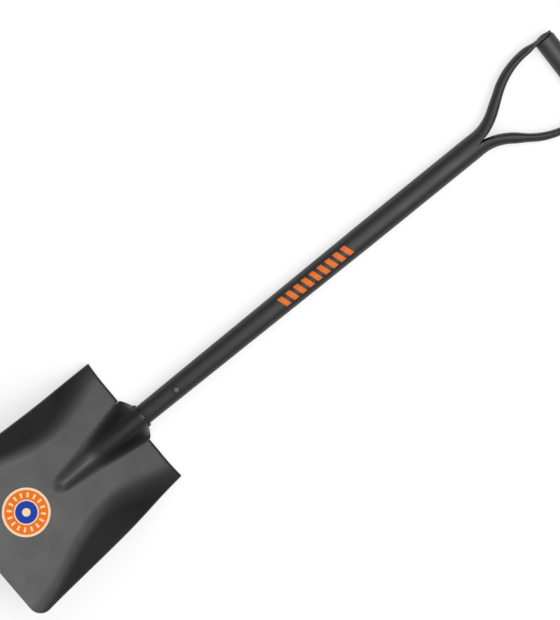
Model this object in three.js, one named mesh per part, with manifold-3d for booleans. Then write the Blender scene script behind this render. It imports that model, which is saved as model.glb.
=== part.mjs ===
// A square mouth shovel, all of painted steel and about one metre long.
//
// Lengths are in millimetres. Every piece is worked out in the shaft's own frame:
// x runs across the blade, y runs along the shaft from the blade to the hand grip,
// and z stands up out of the front of the blade. The origin is on the shaft's axis,
// level with the shoulders of the blade. At the end the whole shovel is laid on its
// back on level ground, and the ground under its middle becomes the origin.

import * as THREE from 'three';
import { mergeVertices } from 'three/addons/utils/BufferGeometryUtils.js';
import Module from 'manifold-3d';

const degrees = Math.PI / 180;
const rightAngle = 90 * degrees;

// Fits between pieces
const slipFit = 0.3;
const seatGap = 0.3;
const cutOverrun = 5;

// Blade: one pressed sheet, dished, with a raised frog and a rolled tang
const sheetThickness = 2;
const bladeLength = 265;
const shoulderHalfWidth = 97;
const mouthHalfWidth = 112;
const sideHollow = 1.5;
const mouthCornerRadius = 17;
const liftAngle = 20 * degrees;
const panBehindAxis = 17.5;

// Side walls: each rises from a soft crease that bows in from the side. The crease is
// wide by the shoulders and draws in between two places.
const wallAngle = 32 * degrees;
const wallWidthAtShoulder = 8;
const wallWidthWidest = 41;
const wallWidthAtMouth = 9;
const wallWidestFromShoulder = 112;
const creaseHalfWidthAtShoulder = 26;
const creaseHalfWidthAtMouth = 12;
const creaseChangeStart = 35;
const creaseChangeEnd = 120;

// Frog: the ridge that carries the line of the shaft down into the pan. Its crest falls
// straight, bends softly, falls more gently to its tip, and fades into the pan.
const frogLength = 149;
const frogHalfWidthAtShoulder = 28;
const frogHalfWidthAtTip = 9;
const frogCrownShare = 0.85;
const frogLowCrownShare = 0.32;
const frogCrownChangeLength = 80;
const frogFootShare = 0.5;
const frogTipFootShare = 0.25;
const frogFallAngle = 18.5 * degrees;
const frogBendFromShoulder = 76;
const frogBendHalfLength = 10;
const frogTipHeight = 2.3;
const frogNoseLength = 22;
const frogNoseWidthShare = 0.85;
const neckHalfWidth = 32.7;
const neckSlotWidth = 0.5;
const neckSlotFade = 30;
const frogTopAboveTang = 0.6;
const flareLagPower = 1.4;

// Tread: the top edge of each shoulder, turned back for the foot
const treadBendRadius = 4;
const treadBendAngle = 80 * degrees;
const treadFlange = 3;

// Tang: the neck of the sheet, rolled to a gutter that is open at the back
const tangLength = 80;
const tangHalfWrap = 150 * degrees;

// Shaft: a tapered tube whose top is slit and spread into a fork
const tubeLowDiameter = 28.2;
const tubeFullDiameter = 32.7;
const tubeWall = 1.5;
const tubeEndAboveShoulder = 15.6;
const taperLength = 375;
const tubeLength = 554;

// Fork: each half of the slit tube is bent out, bent back and folded shut. One arm
// starts to bend before the other, further out and slimmer, and the grip sits a little to
// that side.
const gripFromSlit = 166;
const gripOffCentre = 3;
const slitBeforeSpread = 10;
const spreadStagger = 2;
const spreadRadius = 75;
const spreadAngle = 36 * degrees;
const spreadAngleSkew = 1.6 * degrees;
const returnRadius = 106;
const armNarrowingLength = 30;
const armWidthAtSpread = 15;
const armWidthAtReturn = 12.5;
const armWidthAtEye = 10.1;
const armWidthSkew = 0.9;
const armDepthFolded = 19;
const armDepthAtEye = 22;
const foldLength = 62;
const foldedHalfWrap = 174 * degrees;
const armInnerShare = 0.36;
const eyeInnerShare = 0.5;

// Eyes: the flattened ends of the arms, one at each end of the grip
const eyeThickness = 4.6;
const eyeFlatBeforeGrip = 10;
const eyeRadius = 13;
const eyeSquareness = 4;
const eyeEndAngle = 72 * degrees;

// Hand grip: a tube with closed-in ends
const gripDiameter = 28.6;
const gripLength = 110;
const gripWall = 1.5;
const gripCornerRadius = 1.6;

// Grip rivet: runs through both eyes and the grip
const gripRivetDiameter = 8;
const gripRivetHeadDiameter = 15;
const gripRivetHeadHeight = 1.4;

// Tang rivet: pins the tube to the tang
const tangRivetFromTubeEnd = 55;
const tangRivetDiameter = 6;
const tangRivetHeadDiameter = 10.5;
const tangRivetHeadHeight = 2.4;

// Neck welds: one bead in each corner between the tube's end and the blade. Towards its
// back end it strays down and out over the sheet.
const beadRadius = 2.8;
const beadBelowTubeEnd = 1.4;
const beadOutsideTube = 0.2;
const beadStrayDown = 6;
const beadStrayOut = 3.4;
const beadStartAngle = 62 * degrees;
const beadEndAngle = 122 * degrees;
const beadTipShare = 0.01;

// Label: a round sticker on the flat of the pan
const labelRadius = 32;
const labelThickness = 0.4;
const labelFromShoulder = 189;
const labelOffCentre = -3;

// How finely the surfaces are divided
const neckColumnCount = 7;
const panColumnCount = 6;
const cornerColumnCount = 3;
const panRowCount = 25;
const flareRowCount = 6;
const tangRowCount = 3;
const treadBendRowCount = 4;
const tubeSideCount = 32;
const armStepCount = 9;
const eyeStepCount = 5;
const roundSideCount = 32;
const smallSideCount = 20;
const beadStepCount = 12;
const beadSideCount = 10;
const domeStepCount = 4;
const halvingCount = 40;

const wasm = await Module();
wasm.setup();

const steelPaint = { color: 0x4a4a4c, roughness: 0.5, metalness: 0.3 };
const gripPaint = { color: 0x55575a, roughness: 0.38, metalness: 0.3 };
const rivetPaint = { color: 0x5c5c5e, roughness: 0.45, metalness: 0.4 };
const weldPaint = { color: 0x444446, roughness: 0.6, metalness: 0.3 };
const labelFilm = { color: 0xe8671b, roughness: 0.35, metalness: 0 };

// Plain sums

function mix(from, to, share) {
  return from + (to - from) * share;
}

function smooth(share) {
  const held = Math.min(Math.max(share, 0), 1);
  return held * held * (3 - 2 * held);
}

// A ramp that is zero, then bends softly over twice the softness, then rises one for one
function softRamp(value, softness) {
  if (value <= -softness) return 0;
  if (value >= softness) return value;
  return (value + softness) ** 2 / (4 * softness);
}

// Meshes and solids

function geometryOf(points, triangles) {
  const geometry = new THREE.BufferGeometry();
  geometry.setAttribute('position', new THREE.Float32BufferAttribute(points.flatMap((p) => p.toArray()), 3));
  geometry.setIndex(triangles.flat());
  return geometry;
}

function solidOf(geometry) {
  const bare = geometry.clone();
  bare.deleteAttribute('normal');
  bare.deleteAttribute('uv');
  const merged = mergeVertices(bare);
  return new wasm.Manifold(new wasm.Mesh({
    numProp: 3,
    vertProperties: Float32Array.from(merged.getAttribute('position').array),
    triVerts: Uint32Array.from(merged.index.array),
  }));
}

function geometryOfSolid(solid) {
  const mesh = solid.getMesh();
  const geometry = new THREE.BufferGeometry();
  geometry.setAttribute('position', new THREE.Float32BufferAttribute(mesh.vertProperties, 3));
  geometry.setIndex(Array.from(mesh.triVerts));
  return geometry;
}

// Removes the later geometries from the first
function cut(geometry, ...tools) {
  const left = tools.reduce((solid, tool) => solid.subtract(solidOf(tool)), solidOf(geometry));
  return geometryOfSolid(left);
}

// Keeps the largest body of a cut piece and drops the slivers
function largestBody(geometry) {
  const bodies = solidOf(geometry).decompose();
  return geometryOfSolid(bodies.reduce((best, body) => (body.volume() > best.volume() ? body : best)));
}

// A rod along z from one height to another, used to drill holes
function drill(radius, fromZ, toZ, x, y) {
  const rod = new THREE.CylinderGeometry(radius, radius, toZ - fromZ, smallSideCount);
  rod.rotateX(rightAngle);
  rod.translate(x, y, (fromZ + toZ) / 2);
  return rod;
}

// A turned piece about the y axis, from a profile of [radius, height] pairs
function turned(profile, sides) {
  const points = profile.map(([radius, height]) => new THREE.Vector2(radius, height));
  return new THREE.LatheGeometry(points, sides);
}

// Gives a sheet its thickness. The front offset moves the front face out along the
// normal, the back offset moves the back face the other way, and the open edges are
// walled in between them.
function sheetSolid(points, quads, frontOffset, backOffset) {
  const normals = points.map(() => new THREE.Vector3());
  const triangles = quads.flatMap(([a, b, c, d]) => [[a, b, c], [a, c, d]]);
  const sideA = new THREE.Vector3();
  const sideB = new THREE.Vector3();
  for (const [a, b, c] of triangles) {
    sideA.subVectors(points[b], points[a]);
    sideB.subVectors(points[c], points[a]);
    sideA.cross(sideB);
    for (const corner of [a, b, c]) normals[corner].add(sideA);
  }
  normals.forEach((normal) => normal.normalize());
  const count = points.length;
  const front = points.map((p, i) => p.clone().addScaledVector(normals[i], frontOffset));
  const back = points.map((p, i) => p.clone().addScaledVector(normals[i], -backOffset));
  const edges = new Set(triangles.flatMap(([a, b, c]) => [`${a},${b}`, `${b},${c}`, `${c},${a}`]));
  const walls = [];
  for (const edge of edges) {
    const [a, b] = edge.split(',').map(Number);
    if (edges.has(`${b},${a}`)) continue;
    walls.push([b, a, a + count], [b, a + count, b + count]);
  }
  const backs = triangles.map(([a, b, c]) => [a + count, c + count, b + count]);
  return geometryOf([...front, ...back], [...triangles, ...backs, ...walls]);
}

// Blade

const tangRadius = tubeLowDiameter / 2 - tubeWall - slipFit;
const frogHeight = (panBehindAxis + tangRadius + frogTopAboveTang) / Math.cos(liftAngle);

// A place on the pan: across it, down it from the shoulders, and up off its flat
function fromPan(across, down, up) {
  const y = up * Math.sin(liftAngle) - down * Math.cos(liftAngle);
  const z = up * Math.cos(liftAngle) + down * Math.sin(liftAngle) - panBehindAxis;
  return new THREE.Vector3(across, y, z);
}

function bladeHalfWidth(down) {
  const share = down / bladeLength;
  return mix(shoulderHalfWidth, mouthHalfWidth, share) - sideHollow * Math.sin(Math.PI * share);
}

// The wall widens over one half wave to its widest place and narrows over another
function wallWidth(down) {
  if (down < wallWidestFromShoulder) {
    const rise = (1 - Math.cos(Math.PI * down / wallWidestFromShoulder)) / 2;
    return mix(wallWidthAtShoulder, wallWidthWidest, rise);
  }
  const left = (down - wallWidestFromShoulder) / (bladeLength - wallWidestFromShoulder);
  const fall = (1 + Math.cos(Math.PI * Math.min(left, 1))) / 2;
  return mix(wallWidthAtMouth, wallWidthWidest, fall);
}

// Half of the width over which a side wall bends up
function creaseHalfWidth(down) {
  const change = (down - creaseChangeStart) / (creaseChangeEnd - creaseChangeStart);
  return mix(creaseHalfWidthAtShoulder, creaseHalfWidthAtMouth, smooth(change));
}

function frogHalfWidth(down) {
  return mix(frogHalfWidthAtShoulder, frogHalfWidthAtTip, Math.min(down / frogLength, 1));
}

// One along the frog, then an eased fall to zero over its nose
function noseShare(down) {
  return smooth((frogLength - down) / frogNoseLength);
}

// Height of the frog's crest above the flat
function crestHeight(down) {
  const steep = Math.tan(frogFallAngle);
  const left = frogHeight - steep * frogBendFromShoulder - frogTipHeight;
  const gentle = left / (frogLength - frogBendFromShoulder);
  const bent = (steep - gentle) * softRamp(down - frogBendFromShoulder, frogBendHalfLength);
  return (frogHeight - steep * down + bent) * noseShare(down);
}

// Height of the front face above the flat: the side walls, or the frog's rounded tent
function panHeight(across, down) {
  const beyondCrease = Math.abs(across) - (bladeHalfWidth(down) - wallWidth(down));
  const wall = Math.tan(wallAngle) * softRamp(beyondCrease, creaseHalfWidth(down));
  const crest = crestHeight(down);
  const foot = frogHalfWidth(down) * mix(frogNoseWidthShare, 1, noseShare(down));
  const crown = foot * mix(frogCrownShare, frogLowCrownShare, Math.min(down / frogCrownChangeLength, 1));
  const slope = crest / (Math.hypot(foot, crown) - crown);
  const tent = crest - slope * (Math.hypot(across, crown) - crown);
  const footShare = mix(frogFootShare, frogTipFootShare, Math.min(down / frogLength, 1));
  const frog = softRamp(tent, crest * footShare + Number.EPSILON);
  return wall + frog;
}

// Column places across the sheet. The neck's columns follow the frog and carry on up
// into the tang. The next is close by, so that only a narrow slot parts the neck from the
// treads. The others share out the pan, and the last few round the corner.
function columnsAt(down) {
  const neck = neckHalfWidth * frogHalfWidth(down) / frogHalfWidthAtShoulder;
  const side = bladeHalfWidth(down);
  const cornerStart = side - mouthCornerRadius;
  const evenStep = (cornerStart - neck) / (panColumnCount + 1);
  const panStart = neck + mix(neckSlotWidth, evenStep, smooth((down - treadBendRadius) / neckSlotFade));
  const half = [];
  for (let i = 0; i <= neckColumnCount; i += 1) half.push(neck * i / neckColumnCount);
  for (let i = 0; i <= panColumnCount; i += 1) half.push(mix(panStart, cornerStart, i / panColumnCount));
  for (let i = 1; i <= cornerColumnCount; i += 1) {
    half.push(cornerStart + mouthCornerRadius * Math.sin(rightAngle * i / cornerColumnCount));
  }
  return [...half.slice(1).reverse().map((x) => -x), ...half];
}

// How far down the mouth lies at a column: all the way, or round the corner
function mouthAt(column, columnCount) {
  const fromSide = Math.min(column, columnCount - 1 - column);
  if (fromSide >= cornerColumnCount) return bladeLength;
  const turn = rightAngle * (cornerColumnCount - fromSide) / cornerColumnCount;
  return bladeLength - mouthCornerRadius * (1 - Math.cos(turn));
}

// The front face of the blade as rows of points, from the mouth up to the shoulders,
// then the flare and tang in the middle and the turned treads on either side
function bladeFace() {
  const columnCount = columnsAt(0).length;
  const middle = (columnCount - 1) / 2;
  const rows = [];
  for (let row = panRowCount; row >= 0; row -= 1) {
    const points = [];
    for (let column = 0; column < columnCount; column += 1) {
      const top = Math.abs(column - middle) > neckColumnCount ? treadBendRadius : 0;
      const down = mix(top, mouthAt(column, columnCount), row / panRowCount);
      const across = columnsAt(down)[column];
      points.push(fromPan(across, down, panHeight(across, down)));
    }
    rows.push(points);
  }
  const shoulderRow = rows.length - 1;
  const extraRowCount = Math.max(flareRowCount + tangRowCount, treadBendRowCount + 1);
  for (let extra = 1; extra <= extraRowCount; extra += 1) {
    const points = [];
    for (let column = 0; column < columnCount; column += 1) {
      const fromMiddle = (column - middle) / neckColumnCount;
      const start = rows[shoulderRow][column];
      if (Math.abs(fromMiddle) <= 1) points.push(neckPoint(start, fromMiddle, extra));
      else points.push(treadPoint(columnsAt(treadBendRadius)[column], extra));
    }
    rows.push(points);
  }
  return { rows, shoulderRow, middle };
}

// Above the shoulders the neck of the sheet gathers into the tang's round gutter
function neckPoint(start, fromMiddle, extra) {
  if (extra > flareRowCount + tangRowCount) return null;
  const around = fromMiddle * tangHalfWrap;
  const tangStart = tubeEndAboveShoulder - seatGap;
  const gutter = new THREE.Vector3(tangRadius * Math.sin(around), tangStart, tangRadius * Math.cos(around));
  if (extra <= flareRowCount) {
    const climb = smooth(extra / flareRowCount);
    const place = start.clone().lerp(gutter, climb ** flareLagPower);
    place.y = mix(start.y, gutter.y, climb);
    return place;
  }
  gutter.y += tangLength * (extra - flareRowCount) / tangRowCount;
  return gutter;
}

function treadPoint(across, extra) {
  if (extra > treadBendRowCount + 1) return null;
  const turn = treadBendAngle * Math.min(extra / treadBendRowCount, 1);
  const flange = extra > treadBendRowCount ? treadFlange : 0;
  const down = treadBendRadius * (1 - Math.sin(turn)) - flange * Math.cos(turn);
  const drop = treadBendRadius * (1 - Math.cos(turn)) + flange * Math.sin(turn);
  const up = panHeight(across, treadBendRadius) - drop;
  return fromPan(across, down, up);
}

function bladeSheet() {
  const { rows, shoulderRow, middle } = bladeFace();
  const points = [];
  const numbers = rows.map((row) => row.map((point) => (point ? points.push(point) - 1 : -1)));
  const quads = [];
  for (let row = 0; row + 1 < rows.length; row += 1) {
    for (let column = 0; column + 1 < rows[row].length; column += 1) {
      const leftInNeck = Math.abs(column - middle) <= neckColumnCount;
      const rightInNeck = Math.abs(column + 1 - middle) <= neckColumnCount;
      if (row >= shoulderRow && leftInNeck !== rightInNeck) continue;
      const quad = [numbers[row][column], numbers[row][column + 1],
        numbers[row + 1][column + 1], numbers[row + 1][column]];
      if (quad.every((number) => number >= 0)) quads.push(quad);
    }
  }
  return { points, quads };
}

// Shaft

const slitStart = tubeEndAboveShoulder + tubeLength;

function tubeRadius(y) {
  const taper = Math.min(Math.max((y - tubeEndAboveShoulder) / taperLength, 0), 1);
  return mix(tubeLowDiameter, tubeFullDiameter, taper) / 2;
}

const forkRootRadius = tubeRadius(slitStart);
const armStartX = forkRootRadius / 2;
const gripY = slitStart + gripFromSlit;
const eyeFromGripMiddle = gripLength / 2 + seatGap + eyeThickness / 2;

// The turning points of one arm's middle line: it runs straight, bends out, runs
// straight, bends back and runs straight into its eye
function armCourse(side) {
  const angle = spreadAngle + side * spreadAngleSkew;
  const spreadStartY = slitStart + slitBeforeSpread - side * spreadStagger;
  const spreadEndY = spreadStartY + spreadRadius * Math.sin(angle);
  const eyeX = eyeFromGripMiddle + side * gripOffCentre;
  const bentOut = (spreadRadius + returnRadius) * (1 - Math.cos(angle));
  const straightRun = (eyeX - armStartX - bentOut) / Math.sin(angle);
  const returnStartY = spreadEndY + straightRun * Math.cos(angle);
  const returnEndY = returnStartY + returnRadius * Math.sin(angle);
  const widthAtReturn = armWidthAtReturn - side * armWidthSkew;
  const widthAtEye = armWidthAtEye - side * armWidthSkew;
  return { angle, spreadStartY, spreadEndY, returnStartY, returnEndY, eyeX, widthAtReturn, widthAtEye };
}

function armPlace(x, y, lean) {
  return { x, y, lean };
}

function armSteps(course) {
  const places = [armPlace(armStartX, slitStart, 0)];
  const addBend = (centreX, startY, radius, fromLean, toLean, side) => {
    for (let i = 0; i <= armStepCount; i += 1) {
      const lean = mix(fromLean, toLean, i / armStepCount);
      const x = centreX - side * radius * Math.cos(lean);
      const y = startY + side * radius * (Math.sin(lean) - Math.sin(fromLean));
      places.push(armPlace(x, y, lean));
    }
  };
  places.push(armPlace(armStartX, (slitStart + course.spreadStartY) / 2, 0));
  addBend(armStartX + spreadRadius, course.spreadStartY, spreadRadius, 0, course.angle, 1);
  addBend(course.eyeX - returnRadius, course.returnStartY, returnRadius, course.angle, 0, -1);
  places.push(armPlace(course.eyeX, (course.returnEndY + gripY - eyeRadius) / 2, 0));
  for (let i = 0; i <= 2 * eyeStepCount; i += 1) {
    const turn = mix(-rightAngle, eyeEndAngle, i / (2 * eyeStepCount));
    places.push(armPlace(course.eyeX, gripY + eyeRadius * Math.sin(turn), 0));
  }
  let along = 0;
  places.forEach((place, i) => {
    if (i > 0) along += Math.hypot(place.x - places[i - 1].x, place.y - places[i - 1].y);
    place.along = along;
  });
  return places;
}

// The section of an arm at a place: half a tube at the slit, folded shut further on,
// and pressed flat at the eye
function armSection(place, course, spreadAlong, returnAlong, approachAlong) {
  const fold = smooth(place.along / foldLength);
  let width = mix(2 * armStartX, armWidthAtSpread, smooth(place.along / armNarrowingLength));
  width = mix(width, course.widthAtReturn, smooth((place.along - spreadAlong) / (returnAlong - spreadAlong)));
  width = mix(width, course.widthAtEye, smooth((place.along - returnAlong) / (approachAlong - returnAlong)));
  let depth = mix(2 * forkRootRadius, armDepthFolded, fold);
  depth = mix(depth, armDepthAtEye, smooth((place.along - returnAlong) / (approachAlong - returnAlong)));
  const flat = smooth((place.y - course.returnEndY) / (gripY - eyeFlatBeforeGrip - course.returnEndY));
  width = mix(width, eyeThickness, flat);
  const eyeEnd = Math.sqrt(Math.max(eyeRadius ** 2 - Math.max(place.y - gripY, 0) ** 2, 0));
  depth = mix(depth, 2 * eyeEnd, flat);
  const innerShare = mix(armInnerShare, eyeInnerShare, flat) * fold;
  const halfWrap = mix(rightAngle, foldedHalfWrap, fold);
  const inner = fold > 0 ? width * innerShare / -Math.cos(halfWrap) : width * armInnerShare;
  return {
    halfWrap,
    width,
    outer: width * (1 - innerShare),
    inner,
    innerReach: width * innerShare,
    halfDepth: depth / 2,
    squareness: mix(2, eyeSquareness, flat),
  };
}

function armRing(place, section, inset, side) {
  const points = [];
  const count = tubeSideCount / 2;
  const power = 2 / section.squareness;
  for (let i = 0; i <= count; i += 1) {
    const around = mix(-section.halfWrap, section.halfWrap, i / count);
    const cos = Math.cos(around);
    const sin = Math.sin(around);
    const reach = (cos >= 0 ? section.outer : section.inner) - inset;
    const out = section.innerReach - section.width / 2 + reach * Math.sign(cos) * Math.abs(cos) ** power;
    const up = (section.halfDepth - inset) * Math.sign(sin) * Math.abs(sin) ** power;
    const x = place.x + out * Math.cos(place.lean);
    const y = place.y - out * Math.sin(place.lean);
    points.push(new THREE.Vector3(side * x, y, up));
  }
  return points;
}

// The tube and both arms as one skin: rings of outer and inner points up to the slit,
// then two half rings that part from each other
function shaftShell() {
  const points = [];
  const triangles = [];
  const add = (point) => points.push(point) - 1;
  const quad = (a, b, c, d) => triangles.push([a, b, c], [a, c, d]);
  const ringAt = (y, radius) => Array.from({ length: tubeSideCount }, (_, i) => {
    const around = 2 * Math.PI * i / tubeSideCount;
    return add(new THREE.Vector3(radius * Math.cos(around), y, radius * Math.sin(around)));
  });
  const heights = [tubeEndAboveShoulder, tubeEndAboveShoulder + taperLength, slitStart];
  const rings = heights.map((y) => ({
    outer: ringAt(y, tubeRadius(y)),
    inner: ringAt(y, tubeRadius(y) - tubeWall),
  }));
  for (let i = 0; i < tubeSideCount; i += 1) {
    const next = (i + 1) % tubeSideCount;
    for (let ring = 0; ring + 1 < rings.length; ring += 1) {
      const low = rings[ring];
      const high = rings[ring + 1];
      quad(low.outer[i], high.outer[i], high.outer[next], low.outer[next]);
      quad(low.inner[i], low.inner[next], high.inner[next], high.inner[i]);
    }
    quad(rings[0].outer[i], rings[0].outer[next], rings[0].inner[next], rings[0].inner[i]);
  }
  const root = rings[rings.length - 1];
  const half = tubeSideCount / 2;
  const quarter = tubeSideCount / 4;
  for (const side of [1, -1]) {
    const face = side > 0 ? quad : (a, b, c, d) => quad(d, c, b, a);
    const rootIndex = (k) => (side > 0
      ? (k - quarter + tubeSideCount) % tubeSideCount
      : (quarter + half - k) % tubeSideCount);
    const course = armCourse(side);
    const places = armSteps(course);
    const spreadAlong = places.find((place) => place.y >= course.spreadEndY).along;
    const returnAlong = places.find((place) => place.y >= course.returnStartY).along;
    const approachAlong = places.find((place) => place.y >= course.returnEndY).along;
    let outer = Array.from({ length: half + 1 }, (_, k) => root.outer[rootIndex(k)]);
    let inner = Array.from({ length: half + 1 }, (_, k) => root.inner[rootIndex(k)]);
    for (const place of places.slice(1)) {
      const section = armSection(place, course, spreadAlong, returnAlong, approachAlong);
      const nextOuter = armRing(place, section, 0, side).map(add);
      const nextInner = armRing(place, section, tubeWall, side).map(add);
      for (let k = 0; k < half; k += 1) {
        face(outer[k], nextOuter[k], nextOuter[k + 1], outer[k + 1]);
        face(inner[k], inner[k + 1], nextInner[k + 1], nextInner[k]);
      }
      face(outer[0], inner[0], nextInner[0], nextOuter[0]);
      face(outer[half], nextOuter[half], nextInner[half], inner[half]);
      outer = nextOuter;
      inner = nextInner;
    }
    for (let k = 0; k < half; k += 1) face(outer[k], inner[k], inner[k + 1], outer[k + 1]);
  }
  return geometryOf(points, triangles);
}

// Rivets, grip, label and welds

// A rivet along y with a low domed head at each end, centred on the origin
function rivet(shankRadius, headRadius, headHeight, halfGrip) {
  const profile = [[shankRadius, 0], [shankRadius, halfGrip], [headRadius, halfGrip]];
  for (let i = 1; i <= domeStepCount; i += 1) {
    const turn = rightAngle * i / domeStepCount;
    profile.push([headRadius * Math.cos(turn), halfGrip + headHeight * Math.sin(turn)]);
  }
  const top = profile.slice(1);
  const bottom = top.map(([radius, height]) => [radius, -height]).reverse();
  bottom[0][0] = 0;
  top[top.length - 1][0] = 0;
  return turned([...bottom, ...top], smallSideCount);
}

function gripTube() {
  const end = gripLength / 2;
  const radius = gripDiameter / 2;
  const hole = gripRivetDiameter / 2 + slipFit;
  const corner = gripCornerRadius * (1 - Math.SQRT1_2);
  const upper = [[hole, end], [radius - gripCornerRadius, end], [radius - corner, end - corner],
    [radius, end - gripCornerRadius]];
  const lower = upper.map(([r, y]) => [r, -y]).reverse();
  const inside = [[hole, -end + gripWall], [radius - gripWall, -end + gripWall],
    [radius - gripWall, end - gripWall], [hole, end - gripWall]];
  return turned([...lower, ...inside, ...upper, lower[0]].reverse(), roundSideCount);
}

// A bead of weld that follows the tube's end round one side, thinning to nothing at
// both ends, before its neighbours are cut from it
function beadRope(side) {
  const rings = [];
  const points = [];
  for (let i = 0; i <= beadStepCount; i += 1) {
    const share = i / beadStepCount;
    const around = mix(beadStartAngle, beadEndAngle, share);
    const thick = beadRadius * Math.sqrt(Math.sin(Math.PI * mix(beadTipShare, 1 - beadTipShare, share)));
    const radiusOut = tubeLowDiameter / 2 + beadOutsideTube + beadStrayOut * share ** 2;
    const y = tubeEndAboveShoulder - beadBelowTubeEnd - beadStrayDown * share ** 2;
    const ring = [];
    for (let k = 0; k < beadSideCount; k += 1) {
      const turn = 2 * Math.PI * k / beadSideCount;
      const out = radiusOut + thick * Math.cos(turn);
      const x = side * out * Math.sin(around);
      ring.push(points.push(new THREE.Vector3(x, y + thick * Math.sin(turn), out * Math.cos(around))) - 1);
    }
    rings.push(ring);
  }
  const triangles = [];
  const face = (a, b, c) => triangles.push(side > 0 ? [a, c, b] : [a, b, c]);
  for (let k = 0; k < beadSideCount; k += 1) {
    const next = (k + 1) % beadSideCount;
    for (let i = 0; i < beadStepCount; i += 1) {
      face(rings[i][k], rings[i + 1][next], rings[i + 1][k]);
      face(rings[i][k], rings[i][next], rings[i + 1][next]);
    }
  }
  for (let k = 1; k + 1 < beadSideCount; k += 1) {
    face(rings[0][0], rings[0][k + 1], rings[0][k]);
    face(rings[beadStepCount][0], rings[beadStepCount][k], rings[beadStepCount][k + 1]);
  }
  return geometryOf(points, triangles);
}

// The space that the tube's low end and its seat gap take up
function tubeEndSpace() {
  const radius = tubeLowDiameter / 2 + seatGap;
  const start = tubeEndAboveShoulder - seatGap;
  const space = new THREE.CylinderGeometry(radius, radius, cutOverrun, tubeSideCount);
  space.translate(0, start + cutOverrun / 2, 0);
  return space;
}

// Assembly

const shovel = new THREE.Group();

function addPiece(name, geometry, look) {
  geometry.computeVertexNormals();
  const mesh = new THREE.Mesh(geometry, new THREE.MeshStandardMaterial({ name, ...look }));
  mesh.name = name;
  shovel.add(mesh);
  return mesh;
}

const sheet = bladeSheet();
const tangRivetY = tubeEndAboveShoulder + tangRivetFromTubeEnd;
const tangRivetSeat = tubeRadius(tangRivetY) + seatGap;
const tangRivetHole = tangRivetDiameter / 2 + slipFit;

const blade = addPiece('blade', cut(
  sheetSolid(sheet.points, sheet.quads, 0, sheetThickness),
  drill(tangRivetHole, 0, tangRivetSeat + cutOverrun, 0, tangRivetY),
), steelPaint);

const eyeDrillHalf = eyeFromGripMiddle + eyeThickness + cutOverrun;
const eyeDrill = drill(gripRivetDiameter / 2 + slipFit, -eyeDrillHalf, eyeDrillHalf, 0, 0);
eyeDrill.rotateY(rightAngle);
eyeDrill.translate(gripOffCentre, gripY, 0);
addPiece('shaft', cut(
  shaftShell(),
  drill(tangRivetHole, -tangRivetSeat - cutOverrun, tangRivetSeat + cutOverrun, 0, tangRivetY),
  eyeDrill,
), steelPaint);

const tangRivet = rivet(tangRivetDiameter / 2, tangRivetHeadDiameter / 2, tangRivetHeadHeight, tangRivetSeat);
tangRivet.rotateX(rightAngle);
tangRivet.translate(0, tangRivetY, 0);
addPiece('tang_rivet', tangRivet, rivetPaint);

const bladeSpace = sheetSolid(sheet.points, sheet.quads, seatGap, sheetThickness + seatGap);
for (const [name, side] of [['neck_weld_right', 1], ['neck_weld_left', -1]]) {
  addPiece(name, largestBody(cut(beadRope(side), tubeEndSpace(), bladeSpace)), weldPaint);
}

const grip = gripTube();
grip.rotateZ(rightAngle);
grip.translate(gripOffCentre, gripY, 0);
const gripMesh = addPiece('grip', grip, gripPaint);

const gripRivetHalf = eyeFromGripMiddle + eyeThickness / 2 + seatGap;
const gripRivet = rivet(gripRivetDiameter / 2, gripRivetHeadDiameter / 2, gripRivetHeadHeight, gripRivetHalf);
gripRivet.rotateZ(rightAngle);
gripRivet.translate(gripOffCentre, gripY, 0);
addPiece('grip_rivet', gripRivet, rivetPaint);

const label = new THREE.CylinderGeometry(labelRadius, labelRadius, labelThickness, roundSideCount);
label.rotateX(rightAngle - liftAngle);
label.translate(...fromPan(labelOffCentre, labelFromShoulder, seatGap + labelThickness / 2).toArray());
addPiece('blade_label', label, labelFilm);

// Laid on its back, the shovel rests on the turned treads and on the grip. The lean
// that levels the two supports is found by halving.
function lowest(mesh, lean) {
  const box = new THREE.Box3();
  const place = mesh.geometry.getAttribute('position');
  const point = new THREE.Vector3();
  for (let i = 0; i < place.count; i += 1) {
    box.expandByPoint(point.fromBufferAttribute(place, i).applyEuler(new THREE.Euler(lean, 0, 0)));
  }
  return box.min.z;
}

function restingLean() {
  let low = -liftAngle;
  let high = liftAngle;
  for (let i = 0; i < halvingCount; i += 1) {
    const middle = (low + high) / 2;
    if (lowest(gripMesh, middle) > lowest(blade, middle)) high = middle;
    else low = middle;
  }
  return (low + high) / 2;
}

shovel.rotation.x = restingLean();
const part = new THREE.Group();
part.add(shovel);
part.updateMatrixWorld(true);
const reach = new THREE.Box3().setFromObject(part, true);
const middleOfReach = reach.getCenter(new THREE.Vector3());
part.position.set(-middleOfReach.x, -middleOfReach.y, -reach.min.z);
part.updateMatrixWorld(true);

export default part;
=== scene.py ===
"""Looks of a square mouth shovel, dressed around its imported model.

Shapes are worked out in the shaft's own frame, in millimetres: x runs across the blade, y
along the shaft from the blade to the grip, and z out of the front of the blade. The origin is
on the shaft's axis, level with the blade's shoulders. A Bench lays them where the model lies.
"""

import logging
import math
from abc import ABC, abstractmethod
from collections.abc import Callable
from dataclasses import dataclass, field
from enum import Enum
from functools import cache, partial
from typing import Any

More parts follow.
